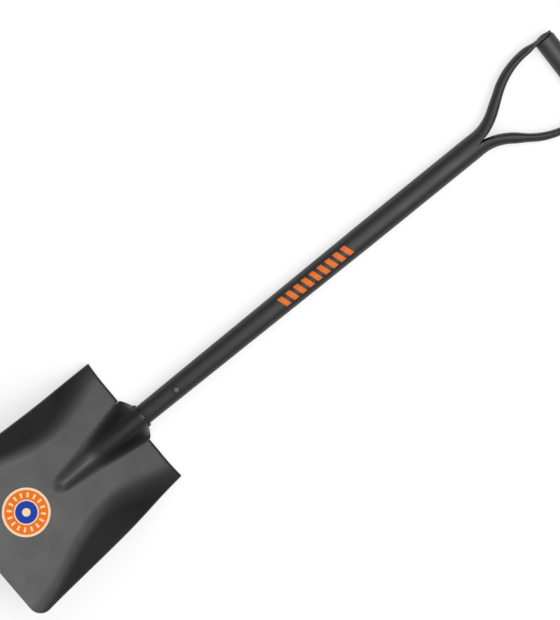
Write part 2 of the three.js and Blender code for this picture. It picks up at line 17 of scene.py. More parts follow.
import bmesh
import bpy
import numpy as np
from mathutils import Euler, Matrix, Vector


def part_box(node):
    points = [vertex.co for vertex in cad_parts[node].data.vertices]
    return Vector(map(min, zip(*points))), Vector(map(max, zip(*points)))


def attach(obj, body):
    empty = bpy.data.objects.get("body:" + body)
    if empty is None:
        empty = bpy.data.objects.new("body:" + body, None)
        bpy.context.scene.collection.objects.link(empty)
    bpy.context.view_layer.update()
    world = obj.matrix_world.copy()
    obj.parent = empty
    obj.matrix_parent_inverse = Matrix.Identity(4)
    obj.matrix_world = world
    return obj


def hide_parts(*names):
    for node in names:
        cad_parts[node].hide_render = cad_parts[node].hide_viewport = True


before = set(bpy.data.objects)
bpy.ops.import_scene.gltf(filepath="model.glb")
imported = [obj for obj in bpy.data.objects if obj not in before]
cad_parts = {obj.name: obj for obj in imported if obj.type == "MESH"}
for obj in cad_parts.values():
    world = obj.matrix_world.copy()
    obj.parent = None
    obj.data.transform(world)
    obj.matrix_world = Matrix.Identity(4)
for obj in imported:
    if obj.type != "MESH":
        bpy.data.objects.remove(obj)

logging.basicConfig(level=logging.INFO, format="%(message)s")
log = logging.getLogger("shovel")

Array = np.ndarray

MM = 0.001
TURN = math.radians(360)
RIGHT = math.radians(90)
TINY = 1e-9
SHARP = math.radians(50)
BODY = "root"


class Slot(Enum):
    """The record's material slots."""

    STEEL = "steel_paint"
    GRIP = "grip_paint"
    RIVET = "rivet_paint"
    WELD = "weld_paint"
    LABEL = "label_film"


class Side(Enum):
    """Which side of the shaft a piece is on, as the sign of x."""

    RIGHT = 1
    LEFT = -1


class Axis(Enum):
    """Which axis a spun piece lies along."""

    X = "x"
    Z = "z"

    def turned(self, points: Array) -> Array:
        """Turns points a quarter, so that what stood along y stands along this axis."""
        x, y, z = np.moveaxis(points, -1, 0)
        return np.stack((y, -x, z) if self is Axis.X else (x, -z, y), axis=-1)


class Tone(Enum):
    """The colours, as sRGB hex values."""

    BLACK = 0x101011
    SOOT = 0x0B0B0C
    # A lighter black for the grip, as painted light that lifts its shaded side.
    GRIP_BLACK_WITH_PAINTED_LIGHT = 0x1C1D21
    # A light grey for paint pulled thin, which also serves as painted highlight on edges, welds and rivet
    # crowns.
    BARE_STEEL_AND_HIGHLIGHT = 0x6F7072
    ORANGE = 0xF07414
    CREAM = 0xF6D9B4
    BLUE = 0x1B3FA6
    FLOOR = 0xB4B4B4


# Sums


def blend(start: Any, end: Any, share: Any) -> Any:
    """Goes from start to end as the share goes from 0 to 1."""
    return start + (end - start) * share


def ease(share: Any) -> Array:
    """Holds the share between 0 and 1 and eases it in and out: s times s times (3 - 2 s)."""
    held = np.clip(share, 0.0, 1.0)
    return held * held * (3.0 - 2.0 * held)


def soft_ramp(value: Array, softness: Any) -> Array:
    """Zero, then a parabola over twice the softness, then the value itself.

    Args:
        value: Where to read the ramp.
        softness: Half of the width of the bend.

    Returns:
        The ramp's height at each value.
    """
    bend = (value + softness) ** 2 / (4.0 * softness)
    return np.where(value <= -softness, 0.0, np.where(value >= softness, value, bend))


def arc(centre: tuple[float, float], radius: float, start: float, end: float, steps: int) -> Array:
    """Points (radius, height) on an arc; an angle of zero points away from the axis."""
    turn = np.linspace(start, end, steps + 1)
    return np.stack([centre[0] + radius * np.cos(turn), centre[1] + radius * np.sin(turn)], axis=-1)


def unit(vectors: Array) -> Array:
    """Gives each vector a length of one."""
    return vectors / np.maximum(np.linalg.norm(vectors, axis=-1, keepdims=True), TINY)


def linear(tone: Tone) -> tuple[float, float, float, float]:
    """Turns an sRGB hex colour into the linear colour that Blender's sockets take.

    Args:
        tone: The colour as it looks on a screen.

    Returns:
        Red, green and blue by the sRGB curve, and an alpha of one.
    """
    channels = [(tone.value >> shift & 255) / 255 for shift in (16, 8, 0)]
    straight = [c / 12.92 if c <= 0.04045 else ((c + 0.055) / 1.055) ** 2.4 for c in channels]
    return (*straight, 1.0)


# Meshes


@dataclass
class Skin:
    """Points in the shaft's frame, the faces on them, and a value per point for the finish."""

    points: Array
    faces: list[Array]
    wear: Array | float = 0.0


@dataclass(frozen=True)
class Bench:
    """How the shovel lies: its lean about X, and where its origin comes to rest, in mm."""

    lean: float
    shift: tuple[float, float, float]

    @classmethod
    def from_frame(cls, rivet_from_origin: float) -> "Bench":
        """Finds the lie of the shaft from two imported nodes.

        Args:
            rivet_from_origin: How far along the shaft the tang rivet's middle is.

        Returns:
            The bench on which the shaft's axis runs through both nodes' middles.
        """
        rivet = sum(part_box("tang_rivet"), Vector()) / 2 / MM
        grip = sum(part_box("grip"), Vector()) / 2 / MM
        lean = math.atan2(grip.z - rivet.z, grip.y - rivet.y)
        back = rivet_from_origin
        return cls(lean, (rivet.x, rivet.y - back * math.cos(lean), rivet.z - back * math.sin(lean)))

    def lay(self, points: Array) -> Array:
        """Lays points where the shovel lies: turned by the lean, then shifted.

        Args:
            points: Points in the shaft's frame, in mm.

        Returns:
            The same points in the model's frame, in metres.
        """
        cos, sin = math.cos(self.lean), math.sin(self.lean)
        x, y, z = points[..., 0], points[..., 1], points[..., 2]
        turned = np.stack([x, y * cos - z * sin, y * sin + z * cos], axis=-1)
        return (turned + np.array(self.shift)) * MM


def grid_quads(index: Array, wrap: bool = False, flip: bool = False) -> Array:
    """Quads between the neighbouring rows and columns of a grid of point numbers.

    Args:
        index: Point numbers by row and column.
        wrap: Whether the last column joins the first.
        flip: Whether the faces look the other way.

    Returns:
        One quad per cell, each turning from a row to the next and then along the columns.
    """
    if wrap:
        index = np.concatenate([index, index[:, :1]], axis=1)
    quads = np.stack([index[:-1, :-1], index[1:, :-1], index[1:, 1:], index[:-1, 1:]], axis=-1)
    quads = quads.reshape(-1, 4)
    return quads[:, ::-1] if flip else quads


def point_normals(points: Array, quads: Array) -> Array:
    """Unit normals at points: the sum of the cross products of the quads' diagonals.

    Args:
        points: The points of a sheet.
        quads: The quads on them.

    Returns:
        One normal per point, out of the faces' front.
    """
    ends = points[quads]
    faces = np.cross(ends[:, 2] - ends[:, 0], ends[:, 3] - ends[:, 1])
    normals = np.zeros_like(points)
    np.add.at(normals, quads.ravel(), np.repeat(faces, 4, axis=0))
    return unit(normals)


def thicken(points: Array, quads: Array, thickness: float, rim: float, steps: int, wear: Array) -> Skin:
    """Gives a sheet its back and rounds its sheared edge.

    The back is the front moved back along its normals. At the border, the front and back end a
    rim's radius short, and two quarter circles with a flat between them close the edge.

    Args:
        points: The front face.
        quads: Its quads, facing the front.
        thickness: The sheet's thickness.
        rim: The radius of the rounded edge.
        steps: Steps in each quarter circle.
        wear: The finish's value at each point of the front, for thin paint and painted highlight.

    Returns:
        The closed sheet, with a value of one along its edge, for thin paint and a painted highlight.
    """
    count = len(points)
    normals = point_normals(points, quads)
    tails, heads = quads.ravel(), np.roll(quads, -1, axis=1).ravel()
    is_open = ~np.isin(tails * count + heads, heads * count + tails)
    tails, heads = tails[is_open], heads[is_open]
    border = np.unique(tails)
    along = np.zeros_like(points)
    np.add.at(along, tails, unit(points[heads] - points[tails]))
    np.add.at(along, heads, unit(points[heads] - points[tails]))
    inward = normals[border]
    outward = unit(np.cross(along[border], inward))
    front = points.copy()
    front[border] -= outward * rim
    back = front - normals * thickness
    turn = np.linspace(0.0, RIGHT, steps + 1)[:, None, None]
    base = front[border][None]
    upper = base + outward * rim * np.sin(turn[1:]) - inward * rim * (1.0 - np.cos(turn[1:]))
    depth = thickness - rim + rim * np.sin(turn[:-1])
    lower = base + outward * rim * np.cos(turn[:-1]) - inward * depth
    rings = np.concatenate([upper, lower])
    numbers = 2 * count + np.arange(rings.shape[0] * len(border)).reshape(rings.shape[0], -1)
    chain = np.concatenate([border[None], numbers, border[None] + count])
    start, end = np.searchsorted(border, tails), np.searchsorted(border, heads)
    edge = np.stack([chain[:-1, end], chain[:-1, start], chain[1:, start], chain[1:, end]], axis=-1)
    # The edge's rings and border get the full value, greyed as thin paint and a painted highlight.
    thinning_and_highlight = np.concatenate([wear, wear, np.ones(numbers.size)])
    thinning_and_highlight[border] = thinning_and_highlight[border + count] = 1.0
    faces = [quads, quads[:, ::-1] + count, edge.reshape(-1, 4)]
    return Skin(np.concatenate([front, back, rings.reshape(-1, 3)]), faces, thinning_and_highlight)


def spun(profile: Array, sides: int) -> Skin:
    """Spins a profile of (radius, height) rows about the y axis.

    A point at a turn t is (radius sin t, height, radius cos t). Rows of no radius become poles.

    Args:
        profile: Radius and height, from one pole or edge to the other.
        sides: Points round the axis.

    Returns:
        The spun skin, closed if both ends are poles or if the profile ends where it starts.
    """
    turn = np.linspace(0.0, TURN, sides, endpoint=False)
    radius, height = profile[:, :1], profile[:, 1:]
    points = np.stack([radius * np.sin(turn), height + 0.0 * turn, radius * np.cos(turn)], axis=-1)
    index = np.arange(len(profile) * sides).reshape(-1, sides)
    return Skin(points.reshape(-1, 3), [grid_quads(index, wrap=True)])


def weld_points(mesh: bpy.types.Mesh, reach: float = 1e-7) -> None:
    """Merges points that share a place, such as a pole's, and drops the faces that collapse.

    Args:
        mesh: The mesh to mend.
        reach: How near two points are merged, in metres.
    """
    work = bmesh.new()
    work.from_mesh(mesh)
    bmesh.ops.remove_doubles(work, verts=work.verts, dist=reach)
    bmesh.ops.dissolve_degenerate(work, edges=work.edges, dist=reach)
    work.to_mesh(mesh)
    work.free()


# Finishes


def add_node(
    tree: bpy.types.NodeTree,
    kind: str,
    settings: dict[str, Any] | None = None,
    values: dict[str | int, Any] | None = None,
    links: dict[str | int, Any] | None = None,
) -> bpy.types.Node:
    """Adds one node to a tree.

    Args:
        tree: The material's or world's tree.
        kind: The node's type name, without the ShaderNode that each starts with.
        settings: The node's own properties.
        values: Numbers for its input sockets, by name or place.
        links: Output sockets that feed its input sockets, by name or place.

    Returns:
        The new node.
    """
    node = tree.nodes.new(f"ShaderNode{kind}")
    for key, value in (settings or {}).items():
        setattr(node, key, value)
    for key, value in (values or {}).items():
        node.inputs[key].default_value = value
    for key, source in (links or {}).items():
        tree.links.new(source, node.inputs[key])
    return node


def new_material(name: str) -> tuple[bpy.types.Material, Callable[..., bpy.types.Node]]:
    """Makes a material with an empty tree.

    Args:
        name: The material's name.

    Returns:
        The material, and add_node with its tree filled in.
    """
    material = bpy.data.materials.new(name)
    material.use_nodes = True
    material.node_tree.nodes.clear()
    return material, partial(add_node, material.node_tree)


class Finish(ABC):
    """A finish, which builds its own material."""

    @abstractmethod
    def material(self) -> bpy.types.Material:
        """Builds the nodes and returns the material."""


@cache
def material_of(finish: Finish) -> bpy.types.Material:
    """A finish's material, built once for all the pieces that carry it."""
    return finish.material()


@dataclass(frozen=True)
class StovedPaint(Finish):
    """Black alkyd paint, dipped or sprayed on steel and baked.

    It gives the eye a near black with a broad, soft sheen, faint orange peel, slightly uneven
    gloss, and a greyer line over sheared and cut edges, weld ripples and rivet crowns, which is
    partly the film pulled thin there and partly a painted highlight.
    """

    name: str
    tone: Tone = Tone.BLACK
    thin_paint_and_highlight_tone: Tone = Tone.BARE_STEEL_AND_HIGHLIGHT
    roughness: float = 0.35
    roughness_spread: float = 0.04
    specular: float = 0.5
    thinning_and_highlight_share: float = 0.3
    thinning_and_highlight_from_to: tuple[float, float] = (0.55, 1.15)
    cloud_in_wear: float = 0.35
    cloud_from_to: tuple[float, float] = (0.3, 0.7)
    cloud_mm: float = 38.0
    cloud_detail: float = 4.0
    peel_mm: float = 5.0
    peel_detail: float = 1.0
    peel_depth_mm: float = 0.035
    wave_mm: float = 60.0
    wave_depth_mm: float = 0.25
    grain: float = 0.55

    def material(self) -> bpy.types.Material:
        """Builds the paint's nodes.

        One noise clouds the colour and the gloss, and two give the peel and the waves of the
        metal under it. The peel of real paint is about 1 mm across, too fine to show here, so
        it is drawn five times as coarse.

        Returns:
            The material, which greys the paint by the mesh's per-point value: thin paint and painted
            highlight.
        """
        material, add = new_material(self.name)
        place = add("TexCoord").outputs["Object"]
        cloud, peel, wave = (
            add(
                "TexNoise",
                values={"Scale": 1 / (size * MM), "Detail": detail, "Roughness": self.grain},
                links={"Vector": place},
            ).outputs["Fac"]
            for size, detail in (
                (self.cloud_mm, self.cloud_detail), (self.peel_mm, self.peel_detail), (self.wave_mm, 0.0)
            )
        )
        # The mesh's per-point value marks thin paint and painted highlights: edges, weld ripples, rivet
        # crowns.
        wear = add("Attribute", {"attribute_name": "wear"}).outputs["Fac"]
        thinning_and_highlight = add(
            "Math", {"operation": "MULTIPLY_ADD"}, {1: self.cloud_in_wear}, {0: cloud, 2: wear}
        ).outputs[0]
        low, high = self.thinning_and_highlight_from_to
        thinned_and_lit = add(
            "MapRange",
            {"interpolation_type": "SMOOTHSTEP"},
            {"From Min": low, "From Max": high, "To Max": self.thinning_and_highlight_share},
            {"Value": thinning_and_highlight},
        ).outputs["Result"]
        clouded = add(
            "Mix", {"data_type": "RGBA"}, {"A": linear(Tone.SOOT), "B": linear(self.tone)}, {"Factor": cloud}
        ).outputs["Result"]
        # The light tone is mixed in there, partly as thin paint and partly as a painted highlight.
        colour = add(
            "Mix", {"data_type": "RGBA"}, {"B": linear(self.thin_paint_and_highlight_tone)}, {"Factor": thinned_and_lit, "A": clouded}
        ).outputs["Result"]
        low, high = self.cloud_from_to
        glossy, dull = self.roughness - self.roughness_spread, self.roughness + self.roughness_spread
        gloss = add(
            "MapRange",
            values={"From Min": low, "From Max": high, "To Min": glossy, "To Max": dull},
            links={"Value": cloud},
        ).outputs["Result"]
        waves = add(
            "Bump", values={"Distance": self.wave_depth_mm * MM}, links={"Height": wave}
        ).outputs["Normal"]
        peeled = add(
            "Bump", values={"Distance": self.peel_depth_mm * MM}, links={"Height": peel, "Normal": waves}
        ).outputs["Normal"]
        shader = add(
            "BsdfPrincipled",
            values={"Specular IOR Level": self.specular},
            links={"Base Color": colour, "Roughness": gloss, "Normal": peeled},
        )
        add("OutputMaterial", links={"Surface": shader.outputs[0]})
        return material


@dataclass(frozen=True)
class ScreenInk(Finish):
    """Orange screen-print ink on the paint.

    It gives the eye a flat, dense colour with a slight sheen and a little mottle where the
    mesh left the film uneven.
    """

    name: str = "screen_print_ink"
    tone: Tone = Tone.ORANGE
    roughness: float = 0.45
    specular: float = 0.3
    mottle_mm: float = 3.0
    mottle_detail: float = 2.0
    darkest: float = 0.72

    def material(self) -> bpy.types.Material:
        """Builds the ink's nodes.

        Returns:
            The material, whose colour a noise darkens here and there.
        """
        material, add = new_material(self.name)
        mottle = add(
            "TexNoise",
            values={"Scale": 1 / (self.mottle_mm * MM), "Detail": self.mottle_detail},
            links={"Vector": add("TexCoord").outputs["Object"]},
        ).outputs["Fac"]
        shade = add("MapRange", values={"To Min": self.darkest}, links={"Value": mottle}).outputs["Result"]
        colour = add(
            "Mix",
            {"data_type": "RGBA", "blend_type": "MULTIPLY"},
            {"Factor": 1.0, "A": linear(self.tone)},
            {"B": shade},
        ).outputs["Result"]
        shader = add(
            "BsdfPrincipled",
            values={"Roughness": self.roughness, "Specular IOR Level": self.specular},
            links={"Base Color": colour},
        )
        add("OutputMaterial", links={"Surface": shader.outputs[0]})
        return material


@dataclass(frozen=True)
class VinylSticker(Finish):
    """A printed vinyl sticker of plain rings and ticks.

    It gives the eye a smooth, satin film with crisp printed colours and a very slight ripple
    where it was rubbed down. Its centre is in the model's frame, in metres, and its plane is
    tilted about X.
    """

    radius_mm: float
    centre: tuple[float, float, float]
    tilt: float
    name: str = "printed_vinyl"
    roughness: float = 0.55
    specular: float = 0.1
    ripple_mm: float = 14.0
    ripple_depth_mm: float = 0.05
    tick_count: int = 16
    tick_share: float = 0.55
    tick_band: tuple[float, float] = (0.6, 0.8)
    rings: tuple[tuple[float, Tone], ...] = (
        (0.0, Tone.CREAM),
        (0.17, Tone.BLUE),
        (0.46, Tone.CREAM),
        (0.51, Tone.ORANGE),
        (0.9, Tone.CREAM),
    )

    def material(self) -> bpy.types.Material:
        """Builds the print's nodes.

        The rings are the steps of a colour ramp over the distance to the centre. The ticks are
        where a cosine of the way round it is high, within a band of distances.

        Returns:
            The material.
        """
        material, add = new_material(self.name)
        place = add("TexCoord").outputs["Object"]
        flat = add(
            "Mapping",
            {"vector_type": "TEXTURE"},
            {"Location": self.centre, "Rotation": (self.tilt, 0.0, 0.0), "Scale": (self.radius_mm * MM,) * 3},
            {"Vector": place},
        ).outputs["Vector"]
        parts = add("SeparateXYZ", links={"Vector": flat}).outputs
        level = add("CombineXYZ", links={"X": parts["X"], "Y": parts["Y"]}).outputs["Vector"]
        reach = add("VectorMath", {"operation": "LENGTH"}, links={0: level}).outputs["Value"]
        ramp = add("ValToRGB", links={"Fac": reach})
        ramp.color_ramp.interpolation = "CONSTANT"
        stops = ramp.color_ramp.elements
        while len(stops) < len(self.rings):
            stops.new(1.0)
        for stop, (share, tone) in zip(stops, self.rings):
            stop.position = share
            stop.color = linear(tone)
        around = add("Math", {"operation": "ARCTAN2"}, links={0: parts["Y"], 1: parts["X"]}).outputs[0]
        beat = add("Math", {"operation": "MULTIPLY"}, {1: self.tick_count}, {0: around}).outputs[0]
        wave = add("Math", {"operation": "COSINE"}, links={0: beat}).outputs[0]
        tick = add("Math", {"operation": "GREATER_THAN"}, {1: self.tick_share}, {0: wave}).outputs[0]
        low, high = self.tick_band
        band = add(
            "Math", {"operation": "COMPARE"}, {1: (low + high) / 2, 2: (high - low) / 2}, {0: reach}
        ).outputs[0]
        both = add("Math", {"operation": "MULTIPLY"}, links={0: tick, 1: band}).outputs[0]
        colour = add(
            "Mix",
            {"data_type": "RGBA"},
            {"B": linear(Tone.CREAM)},
            {"Factor": both, "A": ramp.outputs["Color"]},
        ).outputs["Result"]
        ripple = add(
            "TexNoise", values={"Scale": 1 / (self.ripple_mm * MM), "Detail": 0.0}, links={"Vector": place}
        ).outputs["Fac"]
        rippled = add(
            "Bump", values={"Distance": self.ripple_depth_mm * MM}, links={"Height": ripple}
        ).outputs["Normal"]
        shader = add(
            "BsdfPrincipled",
            values={"Roughness": self.roughness, "Specular IOR Level": self.specular},
            links={"Base Color": colour, "Normal": rippled},
        )
        add("OutputMaterial", links={"Surface": shader.outputs[0]})
        return material


# Sub-assemblies


class Piece(ABC):
    """A separate piece of the shovel, which builds its own mesh and dresses it.

    Each kind has a name and the record's slot for its finish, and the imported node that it
    replaces, if there is one.
    """

    name: str
    slot: Slot
    node: str | None = None

    @abstractmethod
    def skin(self) -> Skin:
        """Works out the piece's shape."""

    @abstractmethod
    def finish(self) -> Finish:
        """Gives the finish that dresses it."""

    def build(self, bench: Bench) -> bpy.types.Object:
        """Makes the mesh, welds its poles and seams, dresses it and rides it on the body.

        Args:
            bench: Where the shovel lies.

        Returns:
            The finished object.
        """
        skin = self.skin()
        mesh = bpy.data.meshes.new(self.name)
        faces = [face for kind in skin.faces for face in kind.tolist()]
        mesh.from_pydata(bench.lay(skin.points).tolist(), [], faces)
        wear = np.broadcast_to(skin.wear, len(skin.points)).astype(np.float32)
        mesh.attributes.new("wear", "FLOAT", "POINT").data.foreach_set("value", wear)
        weld_points(mesh)
        mesh.shade_smooth()
        mesh.set_sharp_from_angle(angle=SHARP)
        mesh.materials.append(material_of(self.finish()))
        piece = bpy.data.objects.new(self.name, mesh)
        bpy.context.scene.collection.objects.link(piece)
        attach(piece, BODY)
        if self.node:
            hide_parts(self.node)
        return piece


@dataclass
class Blade(Piece):
    """The pressed sheet: pan, side walls, frog, treads and the tang inside the tube."""

    name = "blade_sheet"
    node = "blade"
    slot = Slot.STEEL

    tang_radius: float
    tang_start: float
    thickness: float = 2.0
    length: float = 265.0
    shoulder_half_width: float = 97.0
    mouth_half_width: float = 111.85
    side_hollow: float = 1.5
    corner_radius: float = 17.0
    lift: float = math.radians(20)
    behind_axis: float = 17.5
    wall_angle: float = math.radians(32)
    wall_at_shoulder: float = 8.0
    wall_widest: float = 41.0
    wall_at_mouth: float = 9.0
    wall_widest_down: float = 112.0
    crease_at_shoulder: float = 26.0
    crease_at_mouth: float = 12.0
    crease_change: tuple[float, float] = (35.0, 120.0)
    frog_length: float = 149.0
    frog_at_shoulder: float = 28.0
    frog_at_tip: float = 9.0
    frog_above_tang: float = 0.6
    crown_share: float = 0.85
    low_crown_share: float = 0.32
    crown_change: float = 80.0
    foot_share: float = 0.5
    foot_share_at_tip: float = 0.25
    ridge_fall: float = math.radians(18.5)
    ridge_bend: float = 76.0
    ridge_bend_half: float = 10.0
    tip_height: float = 2.3
    nose_length: float = 22.0
    nose_width_share: float = 0.85
    neck_half_width: float = 32.7
    slot_width: float = 0.5
    slot_fade: float = 30.0
    flare_power: float = 1.4
    tread_radius: float = 4.0
    tread_angle: float = math.radians(80)
    tread_flange: float = 3.0
    tang_length: float = 80.0
    tang_wrap: float = math.radians(150)
    rim_radius: float = 0.55
    rim_steps: int = 3
    wear_reach: float = 2.2
    neck_columns: int = 18
    pan_columns: int = 35
    corner_columns: int = 9
    pan_rows: int = 130
    step_rows: int = 3
    flare_rows: int = 18
    tang_rows: int = 8
    bend_rows: int = 9
    flange_rows: int = 2

    @property
    def frog_height(self) -> float:
        """How high the frog stands over the pan at the shoulders."""
        return (self.behind_axis + self.tang_radius + self.frog_above_tang) / math.cos(self.lift)

    def from_pan(self, across: Array, down: Array, up: Array) -> Array:
        """Places by the pan: it is lifted about X and lies behind the shaft's axis.

        Args:
            across: The way across the pan.
            down: The way down it from the shoulders.
            up: The height over its flat.

        Returns:
            The points in the shaft's frame.
        """
        y = up * math.sin(self.lift) - down * math.cos(self.lift)
        z = up * math.cos(self.lift) + down * math.sin(self.lift) - self.behind_axis
        return np.stack(np.broadcast_arrays(across, y, z), axis=-1)

    def half_width(self, down: Array) -> Array:
        """Half of the pan's width: a straight taper, drawn in by half a sine wave.

        Args:
            down: The way down from the shoulders.

        Returns:
            The half width at each place.
        """
        share = down / self.length
        straight = blend(self.shoulder_half_width, self.mouth_half_width, share)
        return straight - self.side_hollow * np.sin(math.pi * share)

    def wall_width(self, down: Array) -> Array:
        """A side wall's width, which grows over half a cosine wave and shrinks over another.

        Args:
            down: The way down from the shoulders.

        Returns:
            The width at each place.
        """
        rise = (1.0 - np.cos(math.pi * down / self.wall_widest_down)) / 2.0
        left = (down - self.wall_widest_down) / (self.length - self.wall_widest_down)
        fall = (1.0 + np.cos(math.pi * np.clip(left, 0.0, 1.0))) / 2.0
        widening = blend(self.wall_at_shoulder, self.wall_widest, rise)
        narrowing = blend(self.wall_at_mouth, self.wall_widest, fall)
        return np.where(down < self.wall_widest_down, widening, narrowing)

    def crease(self, down: Array) -> Array:
        """Half of the width over which a wall bends up: wide by the shoulders, then narrower."""
        start, end = self.crease_change
        return blend(self.crease_at_shoulder, self.crease_at_mouth, ease((down - start) / (end - start)))

    def frog_half_width(self, down: Array) -> Array:
        """A straight taper from the shoulders to the frog's tip."""
        return blend(self.frog_at_shoulder, self.frog_at_tip, np.minimum(down / self.frog_length, 1.0))

    def nose(self, down: Array) -> Array:
        """One along the frog, and an eased fall to zero over its nose."""
        return ease((self.frog_length - down) / self.nose_length)

    def ridge(self, down: Array) -> Array:
        """The frog's crest over the flat.

        It falls straight, nearly in line with the shaft, bends softly, falls straight again at
        the slope that brings it to its tip's height, and ends in the nose.

        Args:
            down: The way down from the shoulders.

        Returns:
            The crest's height at each place.
        """
        steep = math.tan(self.ridge_fall)
        left = self.frog_height - steep * self.ridge_bend - self.tip_height
        shallow = left / (self.frog_length - self.ridge_bend)
        bent = (steep - shallow) * soft_ramp(down - self.ridge_bend, self.ridge_bend_half)
        return (self.frog_height - steep * down + bent) * self.nose(down)

    def height(self, across: Array, down: Array) -> Array:
        """The front face's height over the flat.

        The side walls are a soft ramp beyond the crease. The frog is a tent with a hyperbola
        for its crown and a soft ramp for its foot.

        Args:
            across: The way across the pan.
            down: The way down from the shoulders.

        Returns:
            The height at each place.
        """
        beyond = np.abs(across) - (self.half_width(down) - self.wall_width(down))
        wall = math.tan(self.wall_angle) * soft_ramp(beyond, self.crease(down))
        ridge = self.ridge(down)
        foot = self.frog_half_width(down) * blend(self.nose_width_share, 1.0, self.nose(down))
        share = np.minimum(down / self.frog_length, 1.0)
        lower = np.minimum(down / self.crown_change, 1.0)
        crown = foot * blend(self.crown_share, self.low_crown_share, lower)
        slope = ridge / (np.hypot(foot, crown) - crown)
        tent = ridge - slope * (np.hypot(across, crown) - crown)
        frog = soft_ramp(tent, ridge * blend(self.foot_share, self.foot_share_at_tip, share) + TINY)
        return wall + frog

    def columns(self, down: Array) -> Array:
        """How far across each column is, per row.

        The neck's columns follow the frog's width. The next is close by at the shoulders, so
        that only a narrow slot parts the neck from the treads. The others share out the pan,
        and the last are the sines of a quarter circle round the corner.

        Args:
            down: The rows' way down, as a column of values.

        Returns:
            The way across by row and column, from the left edge to the right.
        """
        neck = self.neck_half_width * self.frog_half_width(down) / self.frog_at_shoulder
        side = self.half_width(down)
        corner = side - self.corner_radius
        shares = np.arange(self.neck_columns + 1) / self.neck_columns
        inner = neck * shares
        even = (corner - neck) / (self.pan_columns + 1)
        start = neck + blend(self.slot_width, even, ease((down - self.tread_radius) / self.slot_fade))
        shares = np.arange(self.pan_columns + 1) / self.pan_columns
        middle = blend(start, corner, shares)
        shares = np.arange(1, self.corner_columns + 1) / self.corner_columns
        outer = corner + self.corner_radius * np.sin(RIGHT * shares)
        half = np.concatenate([inner, middle, outer], axis=1)
        return np.concatenate([-half[:, :0:-1], half], axis=1)

    def mouths(self) -> Array:
        """How far down each column ends: at the mouth, or on the quarter circle of its corner.

        Returns:
            The way down, by column.
        """
        count = self.columns(np.zeros((1, 1))).shape[1]
        from_side = np.minimum(np.arange(count), np.arange(count)[::-1])
        turn = RIGHT * np.maximum(self.corner_columns - from_side, 0) / self.corner_columns
        return self.length - self.corner_radius * (1.0 - np.cos(turn))

    def in_neck(self, count: int) -> Array:
        """Which of so many columns are the neck's: those in the middle."""
        return np.abs(np.arange(count) - count // 2) <= self.neck_columns

    def front(self) -> tuple[Array, Array, Array]:
        """The front face as one grid.

        Rows run from the mouth up to where the treads start to bend. Beyond, the middle
        columns climb to the shoulders' line, gather into the tang's gutter and run along it,
        and the outer columns turn back as treads.

        Returns:
            Points by row and column, which of them are there, and their wear.
        """
        mouths = self.mouths()[None]
        shares = np.linspace(1.0, 0.0, self.pan_rows + 1)[:, None]
        down = blend(self.tread_radius, mouths, shares)
        column = np.arange(down.shape[1])
        across = self.columns(down.reshape(-1, 1)).reshape(*down.shape, -1)[:, column, column]
        pan = self.from_pan(across, down, self.height(across, down))
        side = self.half_width(down) - np.abs(across)
        near = np.minimum(side, self.length - down)
        # A band along the sides and mouth is greyed: thin paint with a painted highlight on the edge.
        wear = np.exp(-near / self.wear_reach)
        neck = self.neck_rows(across[-1])
        tread = self.tread_rows(across[-1])
        extra = max(len(neck), len(tread))
        count = across.shape[1]
        in_neck = self.in_neck(count)
        more = np.zeros((extra, count, 3))
        there = np.zeros((extra, count), bool)
        more[: len(neck), in_neck] = neck[:, in_neck]
        there[: len(neck), in_neck] = True
        more[: len(tread), ~in_neck] = tread[:, ~in_neck]
        there[: len(tread), ~in_neck] = True
        points = np.concatenate([pan, more])
        exists = np.concatenate([np.ones(pan.shape[:2], bool), there])
        return points, exists, np.concatenate([wear, np.zeros(more.shape[:2])])

    def neck_rows(self, across: Array) -> Array:
        """The rows above the pan in the middle: up to the shoulders, the flare and the tang.

        In the flare a point goes from the sheet to the gutter, while its way along the shaft
        eases in and out and its way inwards lags behind it by a power. The gutter is an arc.

        Args:
            across: The way across of each column at the pan's last row.

        Returns:
            Points by row and column, meant only for the middle columns.
        """
        count = len(across)
        part = (np.arange(count) - count // 2) / self.neck_columns
        step = np.linspace(1.0, 0.0, self.step_rows + 1)[1:, None] * self.tread_radius
        widths = self.columns(step)
        climb_rows = self.from_pan(widths, step + 0.0 * widths, self.height(widths, step))
        start = climb_rows[-1]
        around = part * self.tang_wrap
        x, z = self.tang_radius * np.sin(around), self.tang_radius * np.cos(around)
        gutter = np.stack([x, np.full(count, self.tang_start), z], axis=-1)
        climb = ease(np.arange(1, self.flare_rows + 1) / self.flare_rows)[:, None, None]
        flare = blend(start, gutter, climb**self.flare_power)
        flare[..., 1] = blend(start[..., 1], gutter[..., 1], climb[..., 0])
        along = np.arange(1, self.tang_rows + 1)[:, None, None] / self.tang_rows
        tang = gutter + along * np.array([0.0, self.tang_length, 0.0])
        return np.concatenate([climb_rows, flare, tang])

    def tread_rows(self, across: Array) -> Array:
        """The rows of the turned treads: an arc back from the sheet, then a short flat.

        Args:
            across: The way across of each column at the pan's last row.

        Returns:
            Points by row and column, meant only for the outer columns.
        """
        bend = np.arange(1, self.bend_rows + 1) / self.bend_rows
        flat = np.arange(1, self.flange_rows + 1) / self.flange_rows
        turn = self.tread_angle * np.concatenate([bend, np.ones(self.flange_rows)])[:, None]
        flange = self.tread_flange * np.concatenate([np.zeros(self.bend_rows), flat])[:, None]
        down = self.tread_radius * (1.0 - np.sin(turn)) - flange * np.cos(turn)
        drop = self.tread_radius * (1.0 - np.cos(turn)) + flange * np.sin(turn)
        top = self.height(across, np.full_like(across, self.tread_radius))
        return self.from_pan(across[None], down, top[None] - drop)

    def finish(self) -> StovedPaint:
        """Paint on sheet steel."""
        return StovedPaint("stoved_paint_on_sheet_steel")

